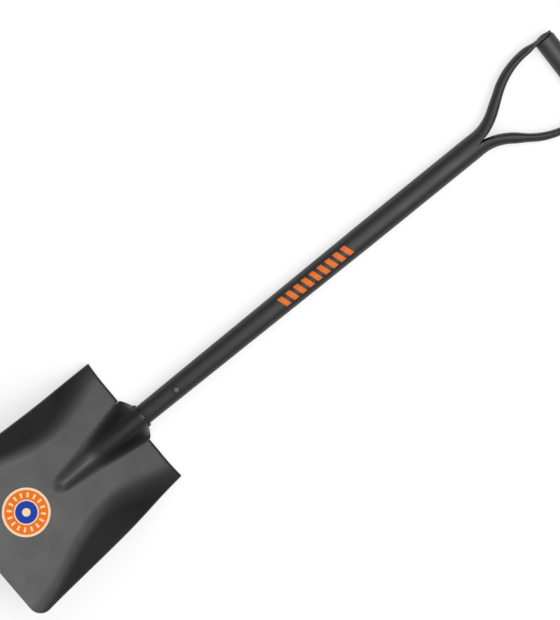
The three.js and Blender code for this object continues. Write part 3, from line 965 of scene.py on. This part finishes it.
    def skin(self) -> Skin:
        """The whole sheet: the front's quads, but for those across the slots, thickened.

        Returns:
            The closed sheet.
        """
        points, exists, wear = self.front()
        rows, count = exists.shape
        index = np.arange(rows * count).reshape(rows, count)
        quads = grid_quads(index, flip=True)
        row, column = np.divmod(quads.min(axis=1), count)
        in_neck = self.in_neck(count)
        parted = (row >= self.pan_rows) & (in_neck[column] != in_neck[column + 1])
        quads = quads[exists.ravel()[quads].all(axis=1) & ~parted]
        used = np.unique(quads)
        quads = np.searchsorted(used, quads)
        flat = points.reshape(-1, 3)[used]
        return thicken(flat, quads, self.thickness, self.rim_radius, self.rim_steps, wear.ravel()[used])


@dataclass(frozen=True)
class Course:
    """The middle line of an arm of the fork, by its steps.

    Each step has its way out (x), its way along the shaft (y), its lean and its distance run.
    Then come the distances run at which the arm is spread, starts back and is straight again,
    and how far along the shaft the last of them is.
    """

    x: Array
    y: Array
    lean: Array
    run: Array
    spread: float
    back: float
    straight: float
    straight_along: float


@dataclass
class Shaft(Piece):
    """The tapered tube, and the fork that is made of its slit and spread top."""

    name = "shaft_tube"
    node = "shaft"
    slot = Slot.STEEL

    low_diameter: float = 28.2
    full_diameter: float = 32.7
    wall: float = 1.5
    end_above_shoulder: float = 15.6
    taper_length: float = 375.0
    length: float = 554.0
    grip_from_slit: float = 166.0
    grip_off_centre: float = 3.0
    before_spread: float = 10.0
    stagger: float = 2.0
    spread_radius: float = 75.0
    spread_angle: float = math.radians(36)
    angle_skew: float = math.radians(1.6)
    return_radius: float = 106.0
    narrowing_length: float = 30.0
    width_at_spread: float = 15.0
    width_at_return: float = 12.5
    width_at_eye: float = 10.1
    width_skew: float = 0.9
    depth_folded: float = 19.0
    depth_at_eye: float = 22.0
    fold_length: float = 62.0
    folded_wrap: float = math.radians(174)
    inner_share: float = 0.36
    eye_inner_share: float = 0.5
    eye_thickness: float = 4.6
    flat_before_grip: float = 10.0
    eye_radius: float = 13.0
    eye_squareness: float = 4.0
    eye_end: float = math.radians(76)
    eye_from_middle: float = 57.6
    lip_radius: float = 0.4
    lip_steps: int = 3
    edge_bulge: float = 0.3
    sides: int = 96
    taper_rows: int = 60
    root_steps: int = 6
    bend_steps: int = 26
    run_steps: int = 12
    near_steps: int = 8
    eye_steps: int = 18
    opening_steps: int = 6
    edge_points: int = 3

    @property
    def slit(self) -> float:
        """How far along the shaft the slit starts."""
        return self.end_above_shoulder + self.length

    @property
    def grip_along(self) -> float:
        """How far along the shaft the grip's axis is."""
        return self.slit + self.grip_from_slit

    def radius(self, along: Any) -> Any:
        """The tube's outer radius: a straight taper, then constant."""
        share = np.clip((along - self.end_above_shoulder) / self.taper_length, 0.0, 1.0)
        return blend(self.low_diameter, self.full_diameter, share) / 2.0

    @property
    def edge_shares(self) -> Array:
        """How far across a cut edge each of its points is."""
        return np.arange(1, self.edge_points + 1)[:, None] / (self.edge_points + 1)

    def finish(self) -> StovedPaint:
        """Paint on drawn tube, which is smoother than sheet but duller."""
        return StovedPaint("stoved_paint_on_drawn_tube", wave_depth_mm=0.1, roughness=0.48, specular=0.6)

    def course(self, side: Side) -> Course:
        """The middle line of one arm.

        It runs straight from the slit, bends out on an arc, runs straight, bends back on a
        second arc, and runs straight through the eye to its round end.

        Args:
            side: Which arm it is.

        Returns:
            The line, with each bend and each run in steps of its own.
        """
        angle = self.spread_angle + side.value * self.angle_skew
        start_x = self.radius(self.slit) / 2.0
        start_y = self.slit + self.before_spread - side.value * self.stagger
        eye_x = self.eye_from_middle + side.value * self.grip_off_centre
        bent = (self.spread_radius + self.return_radius) * (1.0 - math.cos(angle))
        run = (eye_x - start_x - bent) / math.sin(angle)
        lean_out = np.linspace(0.0, angle, self.bend_steps + 1)
        out_x = start_x + self.spread_radius * (1.0 - np.cos(lean_out))
        out_y = start_y + self.spread_radius * np.sin(lean_out)
        share = np.linspace(0.0, 1.0, self.run_steps + 1)[1:-1]
        run_x = out_x[-1] + share * run * math.sin(angle)
        run_y = out_y[-1] + share * run * math.cos(angle)
        lean_back = lean_out[::-1]
        back_x = eye_x - self.return_radius * (1.0 - np.cos(lean_back))
        back_start = out_y[-1] + run * math.cos(angle)
        back_y = back_start + self.return_radius * (math.sin(angle) - np.sin(lean_back))
        near_y = np.linspace(back_y[-1], self.grip_along - self.eye_radius, self.near_steps + 1)[1:-1]
        eye_turn = np.linspace(-RIGHT, self.eye_end, self.eye_steps + 1)
        stretches = [
            (start_x, np.linspace(self.slit, start_y, self.root_steps + 1)[:-1], 0.0),
            (out_x, out_y, lean_out),
            (run_x, run_y, angle),
            (back_x, back_y, lean_back),
            (eye_x, near_y, 0.0),
            (eye_x, self.grip_along + self.eye_radius * np.sin(eye_turn), 0.0),
        ]
        filled = [np.broadcast_arrays(*stretch) for stretch in stretches]
        x, y, lean = (np.concatenate(kind) for kind in zip(*filled))
        ran = np.concatenate([[0.0], np.cumsum(np.hypot(np.diff(x), np.diff(y)))])
        ends = np.cumsum([len(stretch[0]) for stretch in filled])
        straight = ends[3] - 1
        return Course(x, y, lean, ran, ran[ends[1] - 1], ran[ends[2]], ran[straight], y[straight])

    def arm_points(self, side: Side, inset: float) -> Array:
        """Points of one arm's outer or inner face, by step along it and place round it.

        A section starts as half of the tube. It folds shut over the first stretch, narrows in
        steps along the arm, and is pressed flat at the eye. It is two half ellipses, one
        towards the outside and one towards the gap, which turn into squarer curves at the eye.

        Args:
            side: Which arm it is.
            inset: How deep under the outer face the points lie.

        Returns:
            The points, from the back of the arm round its outside to its front.
        """
        line = self.course(side)
        run, y, lean = line.run[:, None], line.y[:, None], line.lean[:, None]
        root = self.radius(self.slit)
        fold = ease(run / self.fold_length)
        skew = side.value * self.width_skew
        to_return = ease((run - line.spread) / (line.back - line.spread))
        to_eye = ease((run - line.back) / (line.straight - line.back))
        width = blend(root, self.width_at_spread, ease(run / self.narrowing_length))
        width = blend(width, self.width_at_return - skew, to_return)
        width = blend(width, self.width_at_eye - skew, to_eye)
        depth = blend(blend(2.0 * root, self.depth_folded, fold), self.depth_at_eye, to_eye)
        reach = self.grip_along - self.flat_before_grip - line.straight_along
        flat = ease((y - line.straight_along) / reach)
        width = blend(width, self.eye_thickness, flat)
        past = np.maximum(y - self.grip_along, 0.0)
        round_end = np.sqrt(np.maximum(self.eye_radius**2 - past**2, 0.0))
        half_depth = blend(depth, 2.0 * round_end, flat) / 2.0
        inner_share = blend(self.inner_share, self.eye_inner_share, flat) * fold
        wrap = blend(RIGHT, self.folded_wrap, fold)
        shut = np.maximum(-np.cos(wrap), TINY)
        inner = np.where(fold > 0, width * inner_share / shut, width * self.inner_share)
        outer = width * (1.0 - inner_share)
        power = 2.0 / blend(2.0, self.eye_squareness, flat)
        around = wrap * np.linspace(-1.0, 1.0, self.sides // 2 + 1)
        cos, sin = np.cos(around), np.sin(around)
        span = np.where(cos >= 0, outer, inner) - inset
        out = width * inner_share - width / 2.0 + span * np.sign(cos) * np.abs(cos) ** power
        up = (half_depth - inset) * np.sign(sin) * np.abs(sin) ** power
        x = line.x[:, None] + out * np.cos(lean)
        return np.stack([side.value * x, y - out * np.sin(lean), up], axis=-1)

    def tube_points(self) -> Array:
        """Rings of the tube, from its inside at the slit, round its low lip, to its outside.

        Returns:
            Points by ring and place round it, with an angle of zero at +x and then towards +z.
        """
        turn = np.linspace(0.0, TURN, self.sides, endpoint=False)
        rows = np.linspace(self.end_above_shoulder, self.slit, self.taper_rows + 1)[1:]
        low = self.low_diameter / 2.0
        lip = self.lip_radius
        end = self.end_above_shoulder + lip
        inside = arc((low - self.wall + lip, end), lip, -2 * RIGHT, -RIGHT, self.lip_steps)
        outside = arc((low - lip, end), lip, -RIGHT, 0.0, self.lip_steps)
        inner = np.stack([self.radius(rows[::-1]) - self.wall, rows[::-1]], axis=-1)
        outer = np.stack([self.radius(rows), rows], axis=-1)
        profile = np.concatenate([inner, inside, outside, outer])
        radius, along = profile[:, :1], profile[:, 1:]
        return np.stack([radius * np.cos(turn), along + 0.0 * turn, radius * np.sin(turn)], axis=-1)

    def skin(self) -> Skin:
        """The tube and both arms as one closed skin.

        The slit's cut edges are a few points that bulge a little between the outer and the
        inner face, and at the slit's root both arms share them.

        Returns:
            The skin, with a value of one along the slit's edges, which greys them as thin paint and painted
            highlight.
        """
        tube = self.tube_points()
        tube_index = np.arange(tube.shape[0] * self.sides).reshape(-1, self.sides)
        points = [tube.reshape(-1, 3)]
        wear = [np.zeros(tube_index.size)]
        faces = [grid_quads(tube_index, wrap=True)]
        count = tube_index.size
        half, quarter = self.sides // 2, self.sides // 4
        seams = []
        for column in (3 * quarter, quarter):
            seams.append(count + np.arange(self.edge_points))
            points.append(blend(tube[-1, column], tube[0, column], self.edge_shares))
            # The slit's cut edges get the full value: thin paint and a painted highlight.
            wear.append(np.ones(self.edge_points))
            count += self.edge_points
        back_seam, front_seam = seams
        for side in Side:
            outer = self.arm_points(side, 0.0)[1:]
            inner = self.arm_points(side, self.wall)[1:]
            front = self.cut_edge(outer[:, -1], outer[:, -2], inner[:, -1])
            back = self.cut_edge(outer[:, 0], outer[:, 1], inner[:, 0])[:, ::-1]
            loops = np.concatenate([outer, front, inner[:, ::-1], back], axis=1)
            step = np.arange(half + 1)
            turn = (step - quarter if side is Side.RIGHT else quarter + half - step) % self.sides
            inside = tube_index[0, turn][::-1]
            root = np.concatenate([tube_index[-1, turn], front_seam, inside, back_seam[::-1]])
            index = count + np.arange(loops.shape[0] * loops.shape[1]).reshape(loops.shape[:2])
            count += index.size
            flip = side is Side.LEFT
            faces.append(grid_quads(np.concatenate([root[None], index]), wrap=True, flip=flip))
            faces.extend(self.end_faces(index[-1], half, flip))
            points.append(loops.reshape(-1, 3))
            # The arms' cut edges are greyed too, as thin paint and a painted highlight.
            edge = np.zeros(loops.shape[:2])
            edge[:, half + 1 : half + 1 + self.edge_points] = 1.0
            edge[:, -self.edge_points :] = 1.0
            wear.append(edge.ravel())
        return Skin(np.concatenate(points), faces, np.concatenate(wear))

    def cut_edge(self, outer: Array, beside: Array, inner: Array) -> Array:
        """Points of a cut edge, from the outer face to the inner.

        They bulge away from the face by a root of a half sine wave, more as the slit opens.

        Args:
            outer: The outer face's last point at each step.
            beside: The point beside it on the outer face.
            inner: The inner face's last point at each step.

        Returns:
            Points by step and place.
        """
        away = unit(outer - beside)[:, None]
        bulge = self.edge_bulge * np.sqrt(np.sin(math.pi * self.edge_shares))
        opened = ease(np.arange(1, len(outer) + 1) / self.opening_steps)[:, None, None]
        return blend(outer[:, None], inner[:, None], self.edge_shares) + away * bulge * opened

    def end_faces(self, loop: Array, half: int, flip: bool) -> list[Array]:
        """Closes the end of an arm: quads across its wall, and a face over each cut edge.

        Args:
            loop: The point numbers of the last loop.
            half: How many gaps there are between the outer face's points.
            flip: Whether the faces look the other way.

        Returns:
            The faces, by their number of corners.
        """
        outer = loop[: half + 1]
        front = loop[half + 1 : half + 1 + self.edge_points]
        inner = loop[half + 1 + self.edge_points : 2 * half + 2 + self.edge_points][::-1]
        back = loop[2 * half + 2 + self.edge_points :]
        across = np.stack([outer[:-1], inner[:-1], inner[1:], outer[1:]], axis=-1)
        front_face = np.concatenate([[outer[-1], inner[-1]], front[::-1]])[None]
        back_face = np.concatenate([[inner[0], outer[0]], back[::-1]])[None]
        faces = [across, front_face, back_face]
        return [face[:, ::-1] for face in faces] if flip else faces


@dataclass
class Rivet(Piece):
    """A rivet with a low domed head at each end, seated on round or flat metal."""

    slot = Slot.RIVET
    axis = Axis.X

    middle: tuple[float, float, float]
    half_grip: float
    seat_radius: float = 0.0
    shank: float = 4.0
    head: float = 7.5
    head_height: float = 1.4
    skirt: float = 0.2
    undercut: float = 0.2
    dome_steps: int = 10
    sides: int = 64

    def finish(self) -> StovedPaint:
        """Paint whose hammered crown is greyed: thin paint and a painted highlight."""
        return StovedPaint("rivet_paint_with_painted_highlight", roughness=0.5, thinning_and_highlight_share=0.6)

    def skin(self) -> Skin:
        """The rivet's skin.

        A head is a low dome over a short skirt, and the dome falls by the square of the way
        out. Where the seat is a tube, the skirt drops by the tube's own fall to either side, so
        that the head closes on it.

        Returns:
            The skin, with a value that grows towards the crown, for thin paint and painted highlight there.
        """
        out = np.linspace(1.0, 0.0, self.dome_steps + 1)
        rise = self.skirt + (self.head_height - self.skirt) * (1.0 - out**2)
        dome = np.stack([self.head * out, self.half_grip + rise], axis=-1)
        rim = self.head - self.undercut
        under = np.array([[self.shank, 0.0], [self.shank, self.half_grip], [rim, self.half_grip]])
        top = np.concatenate([under, dome])
        low = top[:0:-1] * np.array([1.0, -1.0])
        skin = spun(np.concatenate([low, top]), self.sides)
        points = skin.points
        crown = (np.abs(points[:, 1]) - self.half_grip) / self.head_height
        # Greyer towards the crown: thin paint and a painted highlight on the dome.
        skin.wear = ease(crown)
        if self.seat_radius:
            across = np.clip(points[:, 0], -self.head, self.head)
            fall = self.seat_radius - np.sqrt(self.seat_radius**2 - across**2)
            points[:, 1] -= np.sign(points[:, 1]) * fall * (1.0 - np.clip(crown, 0.0, 1.0) ** 2)
        skin.points = self.axis.turned(points) + np.array(self.middle)
        return skin


@dataclass
class TangRivet(Rivet):
    """The rivet through the tube and the tang."""

    name = "tang_rivet_heads"
    node = "tang_rivet"
    axis = Axis.Z

    shank: float = 3.0
    head: float = 5.25
    head_height: float = 1.7


class GripRivet(Rivet):
    """The long rivet through both eyes and the grip."""

    name = "grip_rivet_through"
    node = "grip_rivet"


@dataclass
class Grip(Piece):
    """The cross tube with closed-in ends."""

    name = "grip_tube"
    node = "grip"
    slot = Slot.GRIP

    middle: tuple[float, float, float]
    diameter: float = 28.58
    length: float = 110.5
    wall: float = 1.5
    corner: float = 1.2
    hole: float = 4.3
    corner_steps: int = 6
    rows: int = 24
    sides: int = 96

    def finish(self) -> StovedPaint:
        """The same paint in a lighter black, which is painted light: it lifts the grip's shaded side."""
        # The lighter black stands for light falling on the grip: painted light.
        return StovedPaint(
            "grip_paint_with_painted_light", Tone.GRIP_BLACK_WITH_PAINTED_LIGHT, roughness=0.54, specular=1.0, wave_depth_mm=0.05
        )

    def skin(self) -> Skin:
        """Spins the tube's section: round corners outside, square ones inside.

        Returns:
            The tube with its closed-in ends, between the eyes.
        """
        end, radius = self.length / 2.0, self.diameter / 2.0
        turn_in = arc((radius - self.corner, end - self.corner), self.corner, 0.0, RIGHT, self.corner_steps)
        rows = np.linspace(-end + self.corner, end - self.corner, self.rows + 1)[1:-1]
        body = np.stack([np.full(len(rows), radius), rows], axis=-1)
        lower = turn_in[::-1] * np.array([1.0, -1.0])
        outside = np.concatenate([[[self.hole, -end]], lower, body, turn_in, [[self.hole, end]]])
        bore, stop = radius - self.wall, end - self.wall
        inside = [[self.hole, stop], [bore, stop], [bore, -stop], [self.hole, -stop], [self.hole, -end]]
        skin = spun(np.concatenate([outside, inside]), self.sides)
        skin.points = Axis.X.turned(skin.points) + np.array(self.middle)
        return skin


@dataclass
class WeldBead(Piece):
    """A bead of weld in the corner between the tube's end and the blade, with its ripples."""

    slot = Slot.WELD

    side: Side
    tube_radius: float
    tube_end: float
    thickness: float = 2.5
    outside: float = 0.2
    below: float = 1.4
    stray_down: float = 6.0
    stray_out: float = 3.4
    start: float = math.radians(62)
    end: float = math.radians(122)
    run_out: float = 0.004
    ripples: int = 7
    ripple_share: float = 0.07
    ripple_arch: float = 0.02
    steps: int = 120
    sides: int = 28

    @property
    def node(self) -> str:
        """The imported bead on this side."""
        return f"neck_weld_{self.side.name.lower()}"

    @property
    def name(self) -> str:
        """The bead's own name."""
        return f"{self.node}_bead"

    def finish(self) -> StovedPaint:
        """Paint that runs off the ripples' backs."""
        # Paint greyed on the ripples' backs: paint run thin there and a painted glint.
        return StovedPaint("weld_paint_with_painted_glint", roughness=0.45, wave_depth_mm=0.0, thinning_and_highlight_share=1.0)

    def skin(self) -> Skin:
        """Carries a circle round the tube's end.

        Its radius follows the root of a half sine wave, so that it runs out at both ends, and
        a row of arched ripples is added to it. The ripples lean along the bead. The course
        strays down and out over the sheet by the square of the way along it.

        Returns:
            The bead's skin, closed at both ends, with a higher value on the ripples, for thin paint and
            painted glint.
        """
        share = np.linspace(self.run_out, 1.0 - self.run_out, self.steps + 1)[:, None]
        turn = np.linspace(0.0, TURN, self.sides, endpoint=False)
        lean = share + self.ripple_arch * np.cos(turn)
        ripple = np.abs(np.sin(math.pi * self.ripples * lean))
        thick = self.thickness * np.sqrt(np.sin(math.pi * share)) * (1.0 - self.ripple_share * (1.0 - ripple))
        around = blend(self.start, self.end, share)
        out = self.tube_radius + self.outside + self.stray_out * share**2 + thick * np.cos(turn)
        y = self.tube_end - self.below - self.stray_down * share**2 + thick * np.sin(turn)
        points = np.stack([self.side.value * out * np.sin(around), y, out * np.cos(around)], axis=-1)
        index = np.arange(ripple.size).reshape(-1, self.sides)
        faces = [grid_quads(index, wrap=True), index[:1], index[-1:, ::-1]]
        if self.side is Side.LEFT:
            faces = [face[:, ::-1] for face in faces]
        # The ripples carry the value that greys them: thin paint and a painted glint.
        return Skin(points.reshape(-1, 3), faces, ripple.ravel())


@dataclass
class Sticker(Piece):
    """The round sticker on the pan."""

    name = "pan_sticker"
    node = "blade_label"
    slot = Slot.LABEL

    blade: Blade
    bench: Bench
    radius: float = 32.0
    thickness: float = 0.35
    lift: float = 0.03
    down: float = 189.0
    across: float = -3.0
    edge: float = 0.12
    edge_steps: int = 3
    rings: int = 12
    sides: int = 160

    def on_pan(self, points: Array) -> Array:
        """Lays points of the sticker's own plane, with z as its height, on the pan."""
        x, y, z = np.moveaxis(points, -1, 0)
        return self.blade.from_pan(self.across + x, self.down - y, self.lift + z)

    def finish(self) -> VinylSticker:
        """The print, centred on the sticker and tilted as the pan is."""
        centre = self.bench.lay(self.on_pan(np.zeros(3)))
        return VinylSticker(self.radius, tuple(centre), self.bench.lean - self.blade.lift)

    def skin(self) -> Skin:
        """Spins a disc with a rounded upper edge and lays it on the pan.

        Returns:
            The closed disc.
        """
        rings = np.linspace(0.0, self.radius - self.edge, self.rings)[:-1]
        top = np.stack([rings, np.full(len(rings), self.thickness)], axis=-1)
        corner = (self.radius - self.edge, self.thickness - self.edge)
        edge = arc(corner, self.edge, RIGHT, 0.0, self.edge_steps)
        foot = np.array([[self.radius, 0.0], [0.0, 0.0]])
        skin = spun(np.concatenate([top, edge, foot])[::-1], self.sides)
        skin.points = self.on_pan(Axis.Z.turned(skin.points))
        return skin


@dataclass
class Marking(Piece):
    """A row of slanted printed bars along the front of the tube."""

    name = "tube_marking"
    slot = Slot.LABEL

    shaft: Shaft
    start: float = 250.0
    bar_count: int = 9
    bar_length: float = 7.6
    pitch: float = 13.2
    slant: float = 5.0
    half_width: float = 7.8
    turned: float = math.radians(-3)
    ink: float = 0.06
    rows: int = 5
    columns: int = 25

    def finish(self) -> ScreenInk:
        """The print's ink."""
        return ScreenInk()

    def skin(self) -> Skin:
        """Wraps the bars on the tube.

        Each bar is a small grid. Its way across is an arc of the tube, and its way along is
        sheared by the slant. The front lies an ink's thickness off the tube, and the back as
        deep in it.

        Returns:
            All the bars as closed slabs.
        """
        bar = np.arange(self.bar_count)[:, None, None]
        along = np.linspace(0.0, 1.0, self.rows)[:, None]
        across = np.linspace(-1.0, 1.0, self.columns)
        y = self.start + bar * self.pitch + along * self.bar_length + across * self.slant / 2.0
        radius = self.shaft.radius(y)
        angle = self.turned + across * self.half_width / radius
        levels = [radius + self.ink, radius - self.ink]
        slabs = [np.stack([out * np.sin(angle), y, out * np.cos(angle)], axis=-1) for out in levels]
        total = y.size
        faces = []
        for one in np.arange(total).reshape(y.shape):
            rim = np.concatenate([one[0, :-1], one[:-1, -1], one[-1, :0:-1], one[:0:-1, 0]])
            ahead = np.roll(rim, -1)
            sides = np.stack([ahead, rim, rim + total, ahead + total], axis=-1)
            faces += [grid_quads(one, flip=True), grid_quads(one + total), sides]
        return Skin(np.concatenate(slabs).reshape(-1, 3), faces)


@dataclass
class Shovel:
    """The whole shovel: it sizes its sub-assemblies from each other and builds them."""

    shaft: Shaft = field(default_factory=Shaft)
    slip: float = 0.3
    tang_rivet_from_end: float = 55.0

    def build(self) -> list[bpy.types.Object]:
        """Sizes, builds and dresses every piece.

        Returns:
            The pieces, in the order in which they were made.
        """
        shaft, slip = self.shaft, self.slip
        tube_end, tube_radius = shaft.end_above_shoulder, shaft.low_diameter / 2.0
        rivet_along = tube_end + self.tang_rivet_from_end
        bench = Bench.from_frame(rivet_along)
        blade = Blade(tube_radius - shaft.wall - slip, tube_end - slip)
        seat = float(shaft.radius(rivet_along)) + slip
        eyes = shaft.eye_from_middle + shaft.eye_thickness / 2.0 + slip
        grip_middle = (shaft.grip_off_centre, shaft.grip_along, 0.0)
        pieces = [
            blade,
            shaft,
            TangRivet((0.0, rivet_along, 0.0), seat, seat),
            *(WeldBead(side, tube_radius, tube_end) for side in Side),
            Grip(grip_middle),
            GripRivet(grip_middle, eyes),
            Sticker(blade, bench),
            Marking(shaft),
        ]
        return [piece.build(bench) for piece in pieces]


# Studio


@dataclass(frozen=True)
class SoftBox:
    """A rectangular lamp that faces a point: its radiance is its power over pi and its area."""

    name: str
    place: tuple[float, float, float]
    target: tuple[float, float, float]
    size: tuple[float, float]
    power: float

    def build(self) -> None:
        """Adds the lamp."""
        data = bpy.data.lights.new(self.name, "AREA")
        data.shape = "RECTANGLE"
        data.size, data.size_y = self.size
        data.energy = self.power
        lamp = bpy.data.objects.new(self.name, data)
        lamp.location = self.place
        facing = Vector(self.target) - Vector(self.place)
        lamp.rotation_euler = facing.to_track_quat("-Z", "Y").to_euler()
        bpy.context.scene.collection.objects.link(lamp)


@dataclass(frozen=True)
class Studio:
    """A white floor, a dome that grows lighter overhead, and two soft boxes.

    One soft box stands where the pan mirrors it to the camera, so the pan is lighter than the
    walls. The other hangs over the shaft's upper half and draws the line of light along it.
    The floor's own glow is for the camera and for reflections only.
    """

    floor_half: float = 8.0
    horizon: float = 0.29
    zenith: float = 0.55
    dome_from_to: tuple[float, float] = (0.12, 0.75)
    floor_glow: float = 0.6
    soft_boxes: tuple[SoftBox, ...] = (
        SoftBox("pan_soft_box", (0.4, 0.88, 2.05), (0.0, -0.34, 0.05), (1.2, 1.0), 12.0),
        SoftBox("shaft_soft_box", (0.3, 0.38, 2.2), (0.3, 0.38, 0.0), (4.0, 0.75), 25.0),
    )

    def build(self) -> None:
        """Builds the floor, the surround and the lamps."""
        self.build_floor()
        self.build_world()
        for box in self.soft_boxes:
            box.build()

    def build_floor(self) -> None:
        """A matt white sheet, which keeps the shovel's shadow."""
        half = self.floor_half
        mesh = bpy.data.meshes.new("floor")
        rim = [(-half, -half, 0.0), (half, -half, 0.0), (half, half, 0.0), (-half, half, 0.0)]
        mesh.from_pydata(rim, [], [(0, 1, 2, 3)])
        material, add = new_material("matt_white_floor")
        path = add("LightPath").outputs
        shown = path["Is Camera Ray"]
        for ray in ("Is Glossy Ray", "Is Transmission Ray"):
            shown = add("Math", {"operation": "MAXIMUM"}, links={0: shown, 1: path[ray]}).outputs[0]
        glow = add("Math", {"operation": "MULTIPLY"}, {1: self.floor_glow}, {0: shown}).outputs[0]
        matt = add("BsdfDiffuse", values={"Color": linear(Tone.FLOOR)})
        light = add("Emission", links={"Strength": glow})
        both = add("AddShader", links={0: matt.outputs[0], 1: light.outputs[0]})
        add("OutputMaterial", links={"Surface": both.outputs[0]})
        mesh.materials.append(material)
        floor = bpy.data.objects.new("floor", mesh)
        bpy.context.scene.collection.objects.link(floor)

    def build_world(self) -> None:
        """A plain white surround that grows lighter overhead, as under a large diffuser."""
        world = bpy.data.worlds.new("white_surround")
        world.use_nodes = True
        world.node_tree.nodes.clear()
        add = partial(add_node, world.node_tree)
        low, high = self.dome_from_to
        place = add("TexCoord").outputs["Generated"]
        strength = add(
            "MapRange",
            {"interpolation_type": "SMOOTHSTEP"},
            {"From Min": low, "From Max": high, "To Min": self.horizon, "To Max": self.zenith},
            {"Value": add("SeparateXYZ", links={"Vector": place}).outputs["Z"]},
        ).outputs["Result"]
        white = (1.0, 1.0, 1.0, 1.0)
        light = add("Background", values={"Color": white}, links={"Strength": strength})
        add("OutputWorld", links={"Surface": light.outputs[0]})
        bpy.context.scene.world = world


@dataclass(frozen=True)
class PhotoCamera:
    """The photograph's view, fitted to the shovel's outline.

    The turns about X, Y and Z, in degrees, bring the model to the camera's own axes. The
    frame's height is its long side, which the sensor's width spans.
    """

    aim_mm: tuple[float, float] = (8.95, -8.83)
    distance_mm: float = 2500.0
    turns: tuple[float, float, float] = (1.09, 7.08, -50.915)
    pixels_per_mm: float = 0.7523
    frame_height_px: int = 620
    sensor_mm: float = 36.0
    reach_m: float = 50.0

    def build(self) -> None:
        """Adds the camera and makes it the scene's."""
        data = bpy.data.cameras.new("photo_camera")
        data.sensor_width = self.sensor_mm
        data.lens = self.pixels_per_mm * self.distance_mm * self.sensor_mm / self.frame_height_px
        data.clip_end = self.reach_m
        camera = bpy.data.objects.new("photo_camera", data)
        back = Euler([math.radians(turn) for turn in self.turns]).to_matrix().transposed()
        camera.matrix_world = back.to_4x4()
        camera.location = Vector((*self.aim_mm, 0.0)) * MM + back @ Vector((0.0, 0.0, self.distance_mm * MM))
        bpy.context.scene.collection.objects.link(camera)
        bpy.context.scene.camera = camera


def main() -> None:
    """Builds the shovel, the studio and the camera."""
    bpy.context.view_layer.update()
    PhotoCamera().build()
    for piece in Shovel().build():
        log.info("%s: %d faces", piece.name, len(piece.data.polygons))
    Studio().build()
    bpy.context.scene.view_settings.view_transform = "Standard"


if __name__ == "__main__":
    main()
